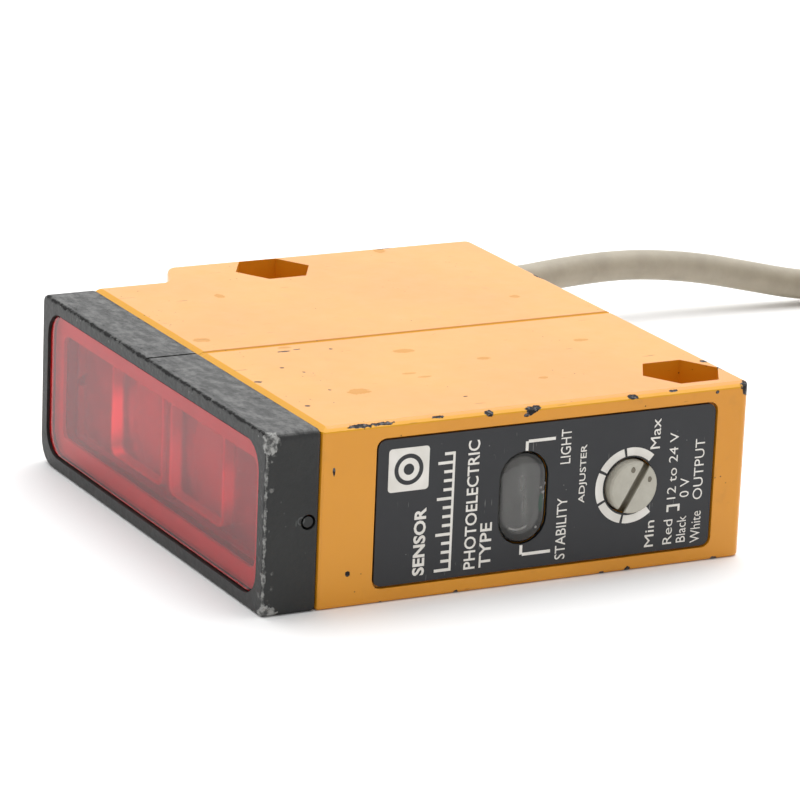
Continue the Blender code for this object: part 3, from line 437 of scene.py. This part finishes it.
def indicator_plastic():
    """Hazy clear plastic with white scratches at its edge, and a painted highlight: a thin white arc low on
    its face.
    """
    look = Look("indicator_plastic", (0.45, 0.44, 0.42), 0.12, Transmission_Weight=0.72, IOR=1.49)
    face = INDICATOR_HIGH.x + 0.3
    streak = look.spot((face, LENS_Y - 0.35, LENS_Z + 1.9), (1.2, 0.5, 1.9), 0.5, 0.9, 0.6)
    tail = look.spot((face, LENS_Y + 0.0, LENS_Z - 0.6), (1.2, 0.4, 2.0), 0.4, 0.9, 0.6)
    # a painted highlight: a thin white arc low on the face, where the dome catches light
    painted_highlight_arc = look.ring((face, LENS_Y - 0.75, LENS_Z - 1.35), 2.05, 0.10, -125, -50)
    scratches = [look.spot((face, LENS_Y + y, LENS_Z + z), (1.2, a, b), 0.5, 3.0) for y, z, a, b in (
        (2.05, 1.0, 0.2, 0.14), (2.35, 0.45, 0.22, 0.16), (2.6, 1.35, 0.1, 0.2), (2.5, -0.1, 0.05, 0.4),
        (1.6, -3.4, 0.14, 0.14))]
    clouds = look.math("MULTIPLY", look.any_of([streak, tail]), 0.35)
    # the light guide behind the face is narrower than the window
    y = look.math("SUBTRACT", look.axis(1), LENS_Y - 0.35)
    z = look.math("ABSOLUTE", look.math("SUBTRACT", look.axis(2), LENS_Z + 0.4))
    z = look.math("MAXIMUM", look.math("SUBTRACT", z, 2.1), 0.0)
    reach = look.math("SQRT", look.math("ADD", look.math("MULTIPLY", y, y), look.math("MULTIPLY", z, z)))
    inside = look.between(reach, 2.35, 2.05)
    haze = look.mix(look.noise(0.35, 3), (0.22, 0.215, 0.205), (0.34, 0.335, 0.32))
    haze = look.mix(inside, (0.055, 0.055, 0.052), haze)
    green = look.spot((face, LENS_Y + 2.1, LENS_Z - 0.7), (1.2, 0.35, 1.0), 0.2, 0.9, 0.3)
    haze = look.mix(green, haze, (0.02, 0.13, 0.07))
    colour = look.mix(clouds, haze, (0.62, 0.61, 0.58))
    look.colour(look.mix(look.any_of([painted_highlight_arc, *scratches]), colour, (0.93, 0.91, 0.87)))
    look.glossy(look.any_of([painted_highlight_arc, *scratches, clouds]), 0.5, 0.10)
    look.raise_by(look.noise(0.4, 3), 0.03)
    return look.finish()


def knob_plastic():
    """Cream plastic with dirt in the screwdriver slot and two small pits in the face."""
    look = Look("knob_plastic", (0.47, 0.45, 0.375), 0.42)
    lie = math.radians(SLOT_ANGLE)
    y = look.math("SUBTRACT", look.axis(1), KNOB_Y)
    z = look.math("SUBTRACT", look.axis(2), KNOB_Z)
    across = look.math("SUBTRACT", look.math("MULTIPLY", z, math.cos(lie)),
                       look.math("MULTIPLY", y, math.sin(lie)))
    reach = look.math("SQRT", look.math("ADD", look.math("MULTIPLY", y, y), look.math("MULTIPLY", z, z)))
    below = look.between(look.axis(0), KNOB_HIGH.x - 0.12, KNOB_HIGH.x - 0.3)
    slot = look.both(look.between(look.math("ABSOLUTE", across), 0.6, 0.45), below)
    grime = look.noise(0.7, 4, 0.6)
    ends = look.between(look.math("ADD", reach, look.math("MULTIPLY", grime, 2.4)), 2.6, 4.4)
    pit_reach = 2.05
    pits = []
    for turn in (37, -37):
        angle = lie + math.radians(turn)
        centre = (KNOB_HIGH.x, KNOB_Y + pit_reach * math.cos(angle), KNOB_Z + pit_reach * math.sin(angle))
        pits.append(look.spot(centre, (0.5, 0.26, 0.32), 0.35, 2.4))
    pit = look.any_of(pits)
    mottle = look.between(look.noise(0.35, 4, 0.6), 0.3, 0.7)
    colour = look.mix(mottle, (0.44, 0.415, 0.345), (0.52, 0.50, 0.43))
    speck = look.both(look.between(look.cells(1.1), 0.10, 0.05),
                      look.between(look.noise(0.5, 2), 0.52, 0.6))
    dirt = look.any_of([look.both(slot, look.math("MULTIPLY_ADD", ends, 0.5)),
                        look.math("MULTIPLY", pit, 0.8), look.math("MULTIPLY", speck, 0.35)])
    look.colour(look.mix(dirt, colour, (0.075, 0.055, 0.025)))
    look.glossy(look.noise(0.9, 3), 0.14, 0.35)
    look.raise_by(look.noise(0.9, 3), 0.02)
    look.raise_by(pit, -0.12)
    return look.finish()


def lens_edge_painted_glow():
    """The ground edge of a moulded lens, with painted highlights: it glows along parts of its rim."""
    look = Look("lens_edge_painted_glow", (0.95, 0.93, 0.90), 0.25, Emission_Color=(1.0, 0.85, 0.8, 1))
    centre = (LENS_AXIS_X - LENS_OFFSET, WINDOW_HIGH.y, 9.0)
    # painted highlights: emission at the places along the rims where the lens edges catch light
    far = look.spot((centre[0] - 6.9, centre[1], 9.2), (1.2, 9, 2.8), 0.2, 0.6, 0.5)
    blob = look.spot((centre[0] - 6.6, centre[1], 4.4), (1.6, 9, 1.0), 0.4, 0.9, 0.5)
    middle = look.spot((LENS_AXIS_X + LENS_OFFSET - 6.9, centre[1], 8.0), (1.0, 9, 3.4), 0.3, 0.8, 0.5)
    near = look.spot((LENS_AXIS_X + LENS_OFFSET + 6.9, centre[1], 9.3), (1.0, 9, 2.4), 0.3, 0.8, 0.5)
    painted_highlight = look.any_of([far, look.math("MULTIPLY", blob, 0.7), look.math("MULTIPLY", middle, 0.35),
                        look.math("MULTIPLY", near, 0.35)])
    look.tree.links.new(look.math("MULTIPLY", painted_highlight, 0.6), look.shader.inputs["Emission Strength"])
    look.colour(look.mix(look.noise(0.8, 3), (0.80, 0.78, 0.75), (0.95, 0.93, 0.90)))
    look.raise_by(look.noise(1.5, 3), 0.03)
    return look.finish()


def plate_black():
    look = Look("plate_black", (0.018, 0.019, 0.022), 0.36, Specular_IOR_Level=0.4)
    broad = look.noise(0.12, 3)
    colour = look.mix(broad, (0.014, 0.015, 0.018), (0.024, 0.025, 0.028))
    scratch = look.noise(1.0, 2, 0.5, look.stretched(1, 4.0, 0.35))
    scratch = look.both(look.between(scratch, 0.70, 0.74), look.between(look.noise(0.3, 2), 0.5, 0.6))
    dust = look.both(look.between(look.cells(0.9), 0.07, 0.03),
                     look.between(look.noise(0.2, 2), 0.52, 0.62))
    marks = look.math("MAXIMUM", look.math("MULTIPLY", scratch, 0.4), look.math("MULTIPLY", dust, 0.5))
    look.colour(look.mix(marks, colour, (0.30, 0.30, 0.29)))
    look.glossy(look.noise(0.6, 4, 0.6), 0.2, 0.28)
    look.raise_by(look.noise(1.2, 3), 0.008)
    return look.finish()


def circuit_board():
    look = Look("circuit_board", (0.02, 0.16, 0.07), 0.35, Coat_Weight=0.3)
    tracks = look.add("TexVoronoi", {"Vector": look.mm, "Scale": 0.45},
                      feature="DISTANCE_TO_EDGE").outputs[0]
    copper = look.between(tracks, 0.10, 0.06)
    look.colour(look.mix(copper, (0.015, 0.12, 0.05), (0.05, 0.26, 0.11)))
    look.raise_by(copper, 0.03)
    return look.finish()


looks = {}


def make_looks():
    looks.update({
        "yellow_paint": yellow_paint(),
        "black_paint": black_paint(),
        "red_filter": red_filter(),
        "clear_plastic": clear_plastic("clear_plastic", (0.86, 0.88, 0.87), (0.95, 0.95, 0.94), 1.0),
        "lens_plastic": clear_plastic("lens_plastic", (0.50, 0.46, 0.44), (0.66, 0.60, 0.58), 0.6),
        "indicator_plastic": indicator_plastic(),
        "knob_plastic": knob_plastic(),
        "lens_edge_painted_glow": lens_edge_painted_glow(),
        "optics_plastic": moulded("optics_plastic", (0.13, 0.12, 0.12), (0.34, 0.31, 0.30), 0.5, 0.5, 0.03),
        "black_plastic": moulded("black_plastic", (0.016, 0.016, 0.017), (0.03, 0.03, 0.03), 0.5),
        "plate_print": plate_black(),
        "white_print": moulded("white_print", (0.84, 0.81, 0.76), (0.74, 0.71, 0.65), 0.5, 1.4, 0.004),
        "cream_plastic": moulded("cream_plastic", (0.56, 0.54, 0.46), (0.64, 0.62, 0.55), 0.42, 0.9, 0.02),
        "blue_plastic": moulded("blue_plastic", (0.03, 0.09, 0.33), (0.04, 0.12, 0.40), 0.4),
        "rubber": moulded("rubber", (0.020, 0.020, 0.020), (0.035, 0.034, 0.033), 0.65, 1.2, 0.02),
        "adhesive": moulded("adhesive", (0.60, 0.56, 0.53), (0.70, 0.67, 0.63), 0.7),
        "steel": brushed("steel", (0.52, 0.51, 0.49), (0.66, 0.65, 0.63), 0.32),
        "tinplate": brushed("tinplate", (0.60, 0.60, 0.60), (0.74, 0.74, 0.73), 0.28),
        "circuit_board": circuit_board(),
        "red_led": moulded("red_led", (0.55, 0.02, 0.02), (0.45, 0.01, 0.015), 0.2,
                           Transmission_Weight=0.5),
        "green_led": moulded("green_led", (0.05, 0.40, 0.16), (0.04, 0.50, 0.2), 0.2,
                             Transmission_Weight=0.5),
        "cord_sheath": moulded("cord_sheath", (0.345, 0.305, 0.235), (0.405, 0.36, 0.28), 0.5, 0.7, 0.05),
        "red_wire": moulded("red_wire", (0.50, 0.02, 0.02), (0.58, 0.03, 0.03), 0.4),
        "black_wire": moulded("black_wire", (0.02, 0.02, 0.02), (0.035, 0.035, 0.035), 0.4),
        "white_wire": moulded("white_wire", (0.70, 0.69, 0.66), (0.78, 0.77, 0.74), 0.4),
        "tinned": brushed("tinned_copper", (0.62, 0.58, 0.52), (0.75, 0.72, 0.68), 0.35),
    })


FINISHES = {"optical_block": "optics_plastic", "adjuster_knob": "knob_plastic",
            "bezel_pin_near": "black_paint", "bezel_pin_far": "black_paint",
            "emitter_lens": "lens_plastic", "receiver_lens": "lens_plastic"}


def dress_cad():
    """Every CAD node takes the finish of its material slot, or its own finish from the list above."""
    for name, piece in nodes.items():
        slot = piece.data.materials[0].name
        piece.data.materials[0] = looks[FINISHES.get(name, slot)]


# ---- builders -------------------------------------------------------------------------------
def add_piece(name, mesh, look, body=BODY):
    piece = bpy.data.objects.new(name, mesh)
    bpy.context.scene.collection.objects.link(piece)
    mesh.materials.append(looks[look])
    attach(piece, body)
    return piece


# ---- the cord -------------------------------------------------------------------------------
CORD_RADIUS = 2.0
CORD_Y, CORD_Z = 18.5, 9.4
BEND = 15.8                     # radius of the bend beside the case
COIL_X, COIL_Y = -29.0, 119.0
COIL_INNER, COIL_OUTER = 16.0, 28.0
COIL_MIDDLE = 22.0              # where the cord's end lies across the turns
COIL_TOP = 16.3
COIL_TURNS = 2.9                # in each of the four layers
CLIMB_TURNS = 1 / 3             # from one layer to the next
TIE_ANGLE = math.radians(-35)


def arc(centre, radius, start, end, steps):
    angles = [math.radians(start + (end - start) * step / steps) for step in range(steps + 1)]
    return [(centre[0] + radius * math.cos(a), centre[1] + radius * math.sin(a)) for a in angles]


def smooth_path(route, spacing):
    """Evenly spaced points on a Catmull-Rom curve through the route."""
    padded = [2 * Vector(route[0]) - Vector(route[1])] + [Vector(p) for p in route]
    padded.append(2 * Vector(route[-1]) - Vector(route[-2]))
    fine = []
    for a, b, c, d in zip(padded, padded[1:], padded[2:], padded[3:]):
        for step in range(20):
            t = step / 20
            fine.append(0.5 * (2 * b + (c - a) * t + (2 * a - 5 * b + 4 * c - d) * t ** 2
                               + (3 * b - a - 3 * c + d) * t ** 3))
    fine.append(padded[-2])
    lengths = [0.0]
    for first, second in zip(fine, fine[1:]):
        lengths.append(lengths[-1] + (second - first).length)
    count = max(2, round(lengths[-1] / spacing) + 1)
    path, index = [], 0
    for step in range(count):
        wanted = lengths[-1] * step / (count - 1)
        while index < len(fine) - 2 and lengths[index + 1] < wanted:
            index += 1
        share = (wanted - lengths[index]) / (lengths[index + 1] - lengths[index])
        path.append(fine[index].lerp(fine[index + 1], share))
    return path


def coil_point(radius, angle, height):
    return Vector((COIL_X + radius * math.cos(angle), COIL_Y + radius * math.sin(angle), height))


def near_tie(angle):
    """1 at the tie, falling to 0 some 40 degrees away."""
    away = abs((angle - TIE_ANGLE + math.pi) % (2 * math.pi) - math.pi)
    share = max(0.0, 1 - away / math.radians(40))
    return share * share * (3 - 2 * share)


def coil_path():
    """Four layers wound inwards and outwards in turn, clockwise from above."""
    steps_per_turn, points = 30, []
    angle, inwards = math.pi, True
    step_angle = 2 * math.pi / steps_per_turn
    for layer in range(4):
        count = round(COIL_TURNS * steps_per_turn)
        for step in range(count):
            share = step / count
            radius = COIL_OUTER + (COIL_INNER - COIL_OUTER) * (share if inwards else 1 - share)
            points.append((radius, angle, layer))
            angle -= step_angle
        if layer < 3:
            climb = round(CLIMB_TURNS * steps_per_turn)
            for step in range(climb):
                share = step / climb
                smooth = share * share * (3 - 2 * share)
                points.append((COIL_INNER if inwards else COIL_OUTER, angle, layer + smooth))
                angle -= step_angle
        inwards = not inwards
    path = []
    for radius, angle, layer in points:
        tie = near_tie(angle)
        height = CORD_RADIUS + 0.05 + 0.9 * tie + layer * (3.99 - 0.2 * tie)
        path.append(coil_point(radius, angle, height))
    return path, angle


def build_cord():
    start_x = FAR + 9.2         # inside the case
    nose = FAR - 4.3            # just past the bushing
    free = [(start_x, CORD_Y, CORD_Z), (FAR + 2, CORD_Y, CORD_Z), (nose, CORD_Y, CORD_Z)]
    for step, (x, y) in enumerate(arc((-41.0, CORD_Y + BEND), BEND, 270, 180, 4)):
        free.append((x, y, CORD_Z - 0.05 - 0.34 * step))
    free += [(-57.1, 42.0, 7.1), (-57.8, 50.0, 6.7), (-58.9, 58.0, 7.0), (-59.6, 68.0, 7.0),
             (-59.2, 78.0, 5.9), (-58.3, 87.0, 4.0), (-57.4, 95.0, 2.4), (-57.05, 104.0, 2.05),
             (-57.0, 112.0, 2.05)]
    turns, angle = coil_path()
    path = smooth_path(free, 4.0) + turns
    # off the last layer and over the top of the coil to the cord's end
    top = CORD_RADIUS + COIL_TOP
    last = turns[-1].z
    for step in range(1, 24):
        share = min(1.0, step / 7)
        smooth = share * share * (3 - 2 * share)
        turned = angle - math.radians(7.6) * (step - 1)
        path.append(coil_point(COIL_OUTER + (COIL_MIDDLE - COIL_OUTER) * smooth, turned,
                               last + (top - last) * smooth))
    curve = bpy.data.curves.new("cord", "CURVE")
    curve.dimensions = "3D"
    curve.bevel_depth, curve.bevel_resolution = CORD_RADIUS * MM, 6
    curve.use_fill_caps = True
    spline = curve.splines.new("NURBS")
    spline.points.add(len(path) - 1)
    for target, point in zip(spline.points, path):
        target.co = (*(point * MM), 1.0)
    spline.order_u, spline.use_endpoint_u, spline.resolution_u = 4, True, 2
    piece = bpy.data.objects.new("cord", curve)
    bpy.context.scene.collection.objects.link(piece)
    curve.materials.append(looks["cord_sheath"])
    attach(piece, BODY)
    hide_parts("cord_free", "cord_coil", "cord_tail", "cable_inner")
    return path


# ---- printing on the plate ------------------------------------------------------------------
PRINT_FACE = PLATE_FACE
PRINT_THICK = 0.03
DIAL_START, DIAL_SPAN, DIAL_PARTS = 48, 262, 5      # the dial's arc, in degrees from +Y towards +Z


def add_slab(shape, outline, low, high):
    """A thin solid with an outline of (y, z) points, between two X planes."""
    base = shape.faces.new([shape.verts.new((low * MM, y * MM, z * MM)) for y, z in outline])
    grown = bmesh.ops.extrude_face_region(shape, geom=[base])
    moved = [item for item in grown["geom"] if isinstance(item, bmesh.types.BMVert)]
    bmesh.ops.translate(shape, verts=moved, vec=((high - low) * MM, 0, 0))


def add_rectangle(shape, y, z, low=PRINT_FACE, high=PRINT_FACE + PRINT_THICK):
    add_slab(shape, [(y[0], z[0]), (y[1], z[0]), (y[1], z[1]), (y[0], z[1])], low, high)


def add_words(shape, words, top, cap, start, length, bold=0.0):
    """A row of letters that reads upwards: `top` is the Y of their tops, `start` the row's lowest Z."""
    curve = bpy.data.curves.new("words", "FONT")
    curve.body, curve.extrude, curve.offset, curve.resolution_u = words, 0.5, bold, 3
    text = bpy.data.objects.new("words", curve)
    bpy.context.scene.collection.objects.link(text)
    mesh = bpy.data.meshes.new_from_object(text.evaluated_get(bpy.context.evaluated_depsgraph_get()))
    xs = [v.co.x for v in mesh.vertices]
    ys = [v.co.y for v in mesh.vertices]
    wide, tall = max(xs) - min(xs), max(ys) - min(ys)
    for vertex in mesh.vertices:
        along, up = (vertex.co.x - min(xs)) / wide, (vertex.co.y - min(ys)) / tall
        vertex.co = Vector((PRINT_FACE + PRINT_THICK * (vertex.co.z + 0.5), top + cap * (1 - up),
                            start + length * along)) * MM
    shape.from_mesh(mesh)
    bpy.data.objects.remove(text)
    bpy.data.meshes.remove(mesh)


def ring_part(centre, inner, outer, start, end):
    steps = max(6, round(abs(end - start) / 5))
    return arc(centre, outer, start, end, steps) + arc(centre, inner, end, start, steps)


def finish_shape(shape, name, smooth=False):
    bmesh.ops.remove_doubles(shape, verts=shape.verts, dist=1e-7)
    bmesh.ops.recalc_face_normals(shape, faces=shape.faces)
    mesh = bpy.data.meshes.new(name)
    shape.to_mesh(mesh)
    shape.free()
    if smooth:
        mesh.shade_smooth()
        mesh.set_sharp_from_angle(angle=math.radians(35))
    return mesh


def rounded_box(low, high, radius, steps=4):
    (y0, z0), (y1, z1) = low, high
    corners = (((y0 + radius, z0 + radius), 180), ((y1 - radius, z0 + radius), 270),
               ((y1 - radius, z1 - radius), 0), ((y0 + radius, z1 - radius), 90))
    return [point for centre, start in corners for point in arc(centre, radius, start, start + 90, steps)]


def print_plate():
    """Generic marks only: a lens symbol, plain words, a scale of ticks, lead lines and the dial."""
    white = bmesh.new()
    add_slab(white, rounded_box((-14.92, 12.12), (-10.10, 16.92), 0.4),
             PRINT_FACE, PRINT_FACE + PRINT_THICK)
    stroke = 0.17
    for y, z_end, z_start in ((1.68, 16.10, 15.05), (1.52, 3.40, 4.45)):
        add_rectangle(white, (y - stroke, y + stroke), sorted((z_start, z_end)))
        add_rectangle(white, (y + stroke, 5.15), (z_end - stroke, z_end + stroke))
    # the scale of ticks
    for step in range(14):
        z = 2.6 + step
        reach = 1.75 if step % 4 == 0 else 1.0
        add_rectangle(white, (-9.0 + 1.75 - reach, -7.25), (z, z + 0.32))
    add_rectangle(white, (-7.25, -6.98), (2.6, 15.92))
    # lead lines between the wires' names and what they carry
    add_rectangle(white, (19.55, 19.80), (6.15, 6.95))
    add_rectangle(white, (19.80, 20.95), (6.70, 6.95))
    add_rectangle(white, (20.95, 21.20), (6.15, 6.95))
    dial = (KNOB_Y, KNOB_Z)
    span, gap = DIAL_SPAN / DIAL_PARTS, 4.6
    for part in range(DIAL_PARTS):
        start = DIAL_START + span * part
        first = start + (gap if part else 0) / 2
        last = start + span - (gap if part < DIAL_PARTS - 1 else 0) / 2
        add_slab(white, ring_part(dial, 3.38, 4.3, first, last), PRINT_FACE, PRINT_FACE + PRINT_THICK)
    # the words, the letters' tops and height along Y, the row's start and length along Z, boldness
    rows = [("SENSOR", -11.62, 1.43, 2.5, 7.55, 0.03), ("PHOTOELECTRIC", -5.45, 1.4, 2.5, 14.4, 0.012),
            ("TYPE", -3.58, 1.4, 2.5, 5.0, 0.012), ("STABILITY", 5.74, 1.25, 2.3, 6.95, 0.0),
            ("LIGHT", 5.86, 1.25, 13.1, 3.9, 0.0), ("ADJUSTER", 8.34, 0.98, 8.4, 6.6, 0.006),
            ("Min", 16.96, 1.12, 2.4, 3.0, 0.0), ("Max", 17.05, 1.2, 13.6, 3.4, 0.0),
            ("Red", 19.28, 1.12, 2.45, 2.8, -0.004), ("12 to 24 V", 19.5, 1.1, 7.6, 7.6, -0.004),
            ("Black", 20.98, 1.15, 2.48, 3.0, -0.004), ("0 V", 21.12, 1.15, 7.64, 2.2, -0.004),
            ("White", 22.78, 1.2, 2.24, 3.6, -0.004), ("OUTPUT", 22.78, 1.2, 7.2, 6.95, -0.004)]
    for row in rows:
        add_words(white, *row)
    add_piece("plate_print_white", finish_shape(white, "plate_print_white"), "white_print")

    dark = bmesh.new()
    centre, face = (-12.51, 14.52), PRINT_FACE + PRINT_THICK
    add_slab(dark, ring_part(centre, 1.25, 1.72, 0, 180), face, face + 0.015)
    add_slab(dark, ring_part(centre, 1.25, 1.72, 180, 360), face, face + 0.015)
    add_slab(dark, arc(centre, 0.62, 0, 345, 23), face, face + 0.015)
    add_piece("plate_print_symbol", finish_shape(dark, "plate_print_symbol"), "plate_print")


def stadium(centre, width, height, steps=12):
    radius, reach = width / 2, (height - width) / 2
    upper = arc((centre[0], centre[1] + reach), radius, 0, 180, steps)
    lower = arc((centre[0], centre[1] - reach), radius, 180, 360, steps)
    return upper + lower


def build_indicator():
    """The clear window over the two lamps, with a low crown on its outer face."""
    width, height = 5.7, 10.2
    shape = bmesh.new()
    back, face = INDICATOR_LOW.x + 1.2, INDICATOR_HIGH.x
    levels = [(0.0, back), (0.0, face - 0.35), (0.12, face - 0.1), (0.35, face + 0.05), (0.75, face + 0.18),
              (1.3, face + 0.28), (1.9, face + 0.34), (2.5, face + 0.36)]
    rings = [[shape.verts.new((x * MM, y * MM, z * MM)) for y, z in
              stadium((LENS_Y, LENS_Z), width - 2 * inset, height - 2 * inset)] for inset, x in levels]
    for first, second in zip(rings, rings[1:]):
        for i in range(len(first)):
            j = (i + 1) % len(first)
            shape.faces.new([first[i], first[j], second[j], second[i]])
    shape.faces.new(rings[0])
    shape.faces.new(rings[-1])
    piece = add_piece("indicator_window", finish_shape(shape, "indicator_window", True),
                      "indicator_plastic")
    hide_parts("indicator_lens")


LENS_HEIGHT = 10.0              # of both lenses' middles


def build_lens_rims():
    """The ground rim round each lens behind the filter."""
    half_width, half_height, wide, corner = 6.95, 5.45, 0.32, 1.2
    front, rear = WINDOW_LOW.y + 3.3, WINDOW_LOW.y + 4.6
    for name, side in {"receiver": -1, "emitter": 1}.items():
        centre = LENS_AXIS_X + side * LENS_OFFSET
        shape = bmesh.new()
        loops = []
        for inset, depth in ((0.08, front), (0, front + 0.08), (0, rear), (wide, rear),
                             (wide, front + 0.08), (wide - 0.08, front)):
            outline = rounded_box((-half_width + inset, -half_height + inset),
                                  (half_width - inset, half_height - inset), corner - inset, 5)
            loops.append([shape.verts.new(((centre + a) * MM, depth * MM, (LENS_HEIGHT + b) * MM))
                          for a, b in outline])
        for first, second in zip(loops, loops[1:] + loops[:1]):
            for i in range(len(first)):
                j = (i + 1) % len(first)
                shape.faces.new([first[i], first[j], second[j], second[i]])
        # the rims' finish glows with painted highlights along parts of each rim
        add_piece(f"{name}_lens_rim", finish_shape(shape, f"{name}_lens_rim", True),
                  "lens_edge_painted_glow")


# ---- tie and stripped leads -----------------------------------------------------------------
CORE_RADIUS, STRANDS_RADIUS = 0.55, 0.28
LEAD_START = 172                # degrees round the coil, just inside the end of the sheath


def build_leads():
    """Three insulated cores with tinned ends, out of the end of the cord."""
    tail_height, lead_height = COIL_TOP + CORD_RADIUS, COIL_TOP + 0.6
    cores = {"red": (1.5, 74), "black": (0.0, 68), "white": (-1.5, 77)}
    for colour, (aside, end) in cores.items():
        path = []
        for step in range(14):
            share = step / 13
            spread = aside * (0.35 + 0.65 * min(1, share * 4)) * (1 + share)
            height = max(lead_height, tail_height - 3.6 * share * 2)
            angle = math.radians(LEAD_START - (LEAD_START - end) * share)
            path.append(coil_point(COIL_MIDDLE + spread, angle, height))
        cut = 10                # the point where the insulation is stripped
        for part, points, radius, look in (
                ("insulation", path[:cut + 1], CORE_RADIUS, f"{colour}_wire"),
                ("strands", path[cut - 1:], STRANDS_RADIUS, "tinned")):
            curve = bpy.data.curves.new(f"lead_{colour}_{part}", "CURVE")
            curve.dimensions = "3D"
            curve.bevel_depth, curve.bevel_resolution, curve.use_fill_caps = radius * MM, 3, True
            spline = curve.splines.new("NURBS")
            spline.points.add(len(points) - 1)
            for target, point in zip(spline.points, points):
                target.co = (*(point * MM), 1.0)
            spline.order_u, spline.use_endpoint_u, spline.resolution_u = 3, True, 3
            piece = bpy.data.objects.new(f"lead_{colour}_{part}", curve)
            bpy.context.scene.collection.objects.link(piece)
            curve.materials.append(looks[look])
            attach(piece, BODY)
            if part == "insulation":
                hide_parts(f"lead_{colour}")


def build_tie():
    """A nylon tie round the coil: a ribbed strap, its locking head and the strap's cut end."""
    inner, outer, low, high = COIL_INNER - 2.4, COIL_OUTER + 2.4, 0.9, COIL_TOP
    thick, half, round_off = 0.8, 1.5, 1.4
    shape = bmesh.new()
    loop = rounded_box((inner, low), (outer, high), round_off, 6)
    outside = rounded_box((inner - thick, low - thick), (outer + thick, high + thick), round_off + thick, 6)
    across = [(-half, 0.15), (-half + 0.15, 0), (half - 0.15, 0), (half, 0.15)]
    turn = Matrix.Rotation(TIE_ANGLE, 3, "Z")

    def place(radius, aside, z):
        return (turn @ Vector((radius, aside, z)) + Vector((COIL_X, COIL_Y, 0))) * MM

    rings = []
    for (r0, z0), (r1, z1) in zip(loop, outside):
        out = Vector((r1 - r0, z1 - z0)).normalized()
        ring = []
        for aside, inset in across:
            ring.append(shape.verts.new(place(r1 - out.x * inset, aside, z1 - out.y * inset)))
        for aside, inset in reversed(across):
            ring.append(shape.verts.new(place(r0 + out.x * inset, aside, z0 + out.y * inset)))
        rings.append(ring)
    for first, second in zip(rings, rings[1:] + rings[:1]):
        for i in range(len(first)):
            j = (i + 1) % len(first)
            shape.faces.new([first[i], first[j], second[j], second[i]])

    def block(r, aside, z):
        corners = [shape.verts.new(place(a, b, c)) for a in r for b in aside for c in z]
        for face in ((0, 1, 3, 2), (4, 6, 7, 5), (0, 4, 5, 1), (2, 3, 7, 6), (0, 2, 6, 4), (1, 5, 7, 3)):
            shape.faces.new([corners[i] for i in face])

    # the locking head, the strap's cut end through it, and the ribs on that end
    top = high + thick
    block((19.0, 23.4), (-2.2, -1.7), (top, top + 2.6))
    block((19.0, 23.4), (1.7, 2.2), (top, top + 2.6))
    block((19.0, 20.2), (-1.7, 1.7), (top, top + 2.6))
    block((20.2, 23.4), (-1.7, 1.7), (top, top + 0.6))
    block((20.2, 23.4), (-1.7, 1.7), (top + 1.9, top + 2.6))
    block((20.2, 28.6), (-1.3, 1.3), (top + 0.75, top + 1.55))
    for step in range(9):
        block((23.7 + 0.5 * step, 23.95 + 0.5 * step), (-0.95, 0.95), (top + 1.55, top + 1.7))
    piece = add_piece("tie_strap", finish_shape(shape, "tie_strap"), "black_plastic")
    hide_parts("coil_tie")
    bevel = piece.modifiers.new("edges", "BEVEL")
    bevel.width, bevel.segments, bevel.limit_method = 0.06 * MM, 2, "ANGLE"
    bevel.angle_limit = math.radians(40)


make_camera()
make_looks()
make_studio()
dress_cad()
print_plate()
build_indicator()
build_lens_rims()
build_leads()
build_tie()
build_cord()
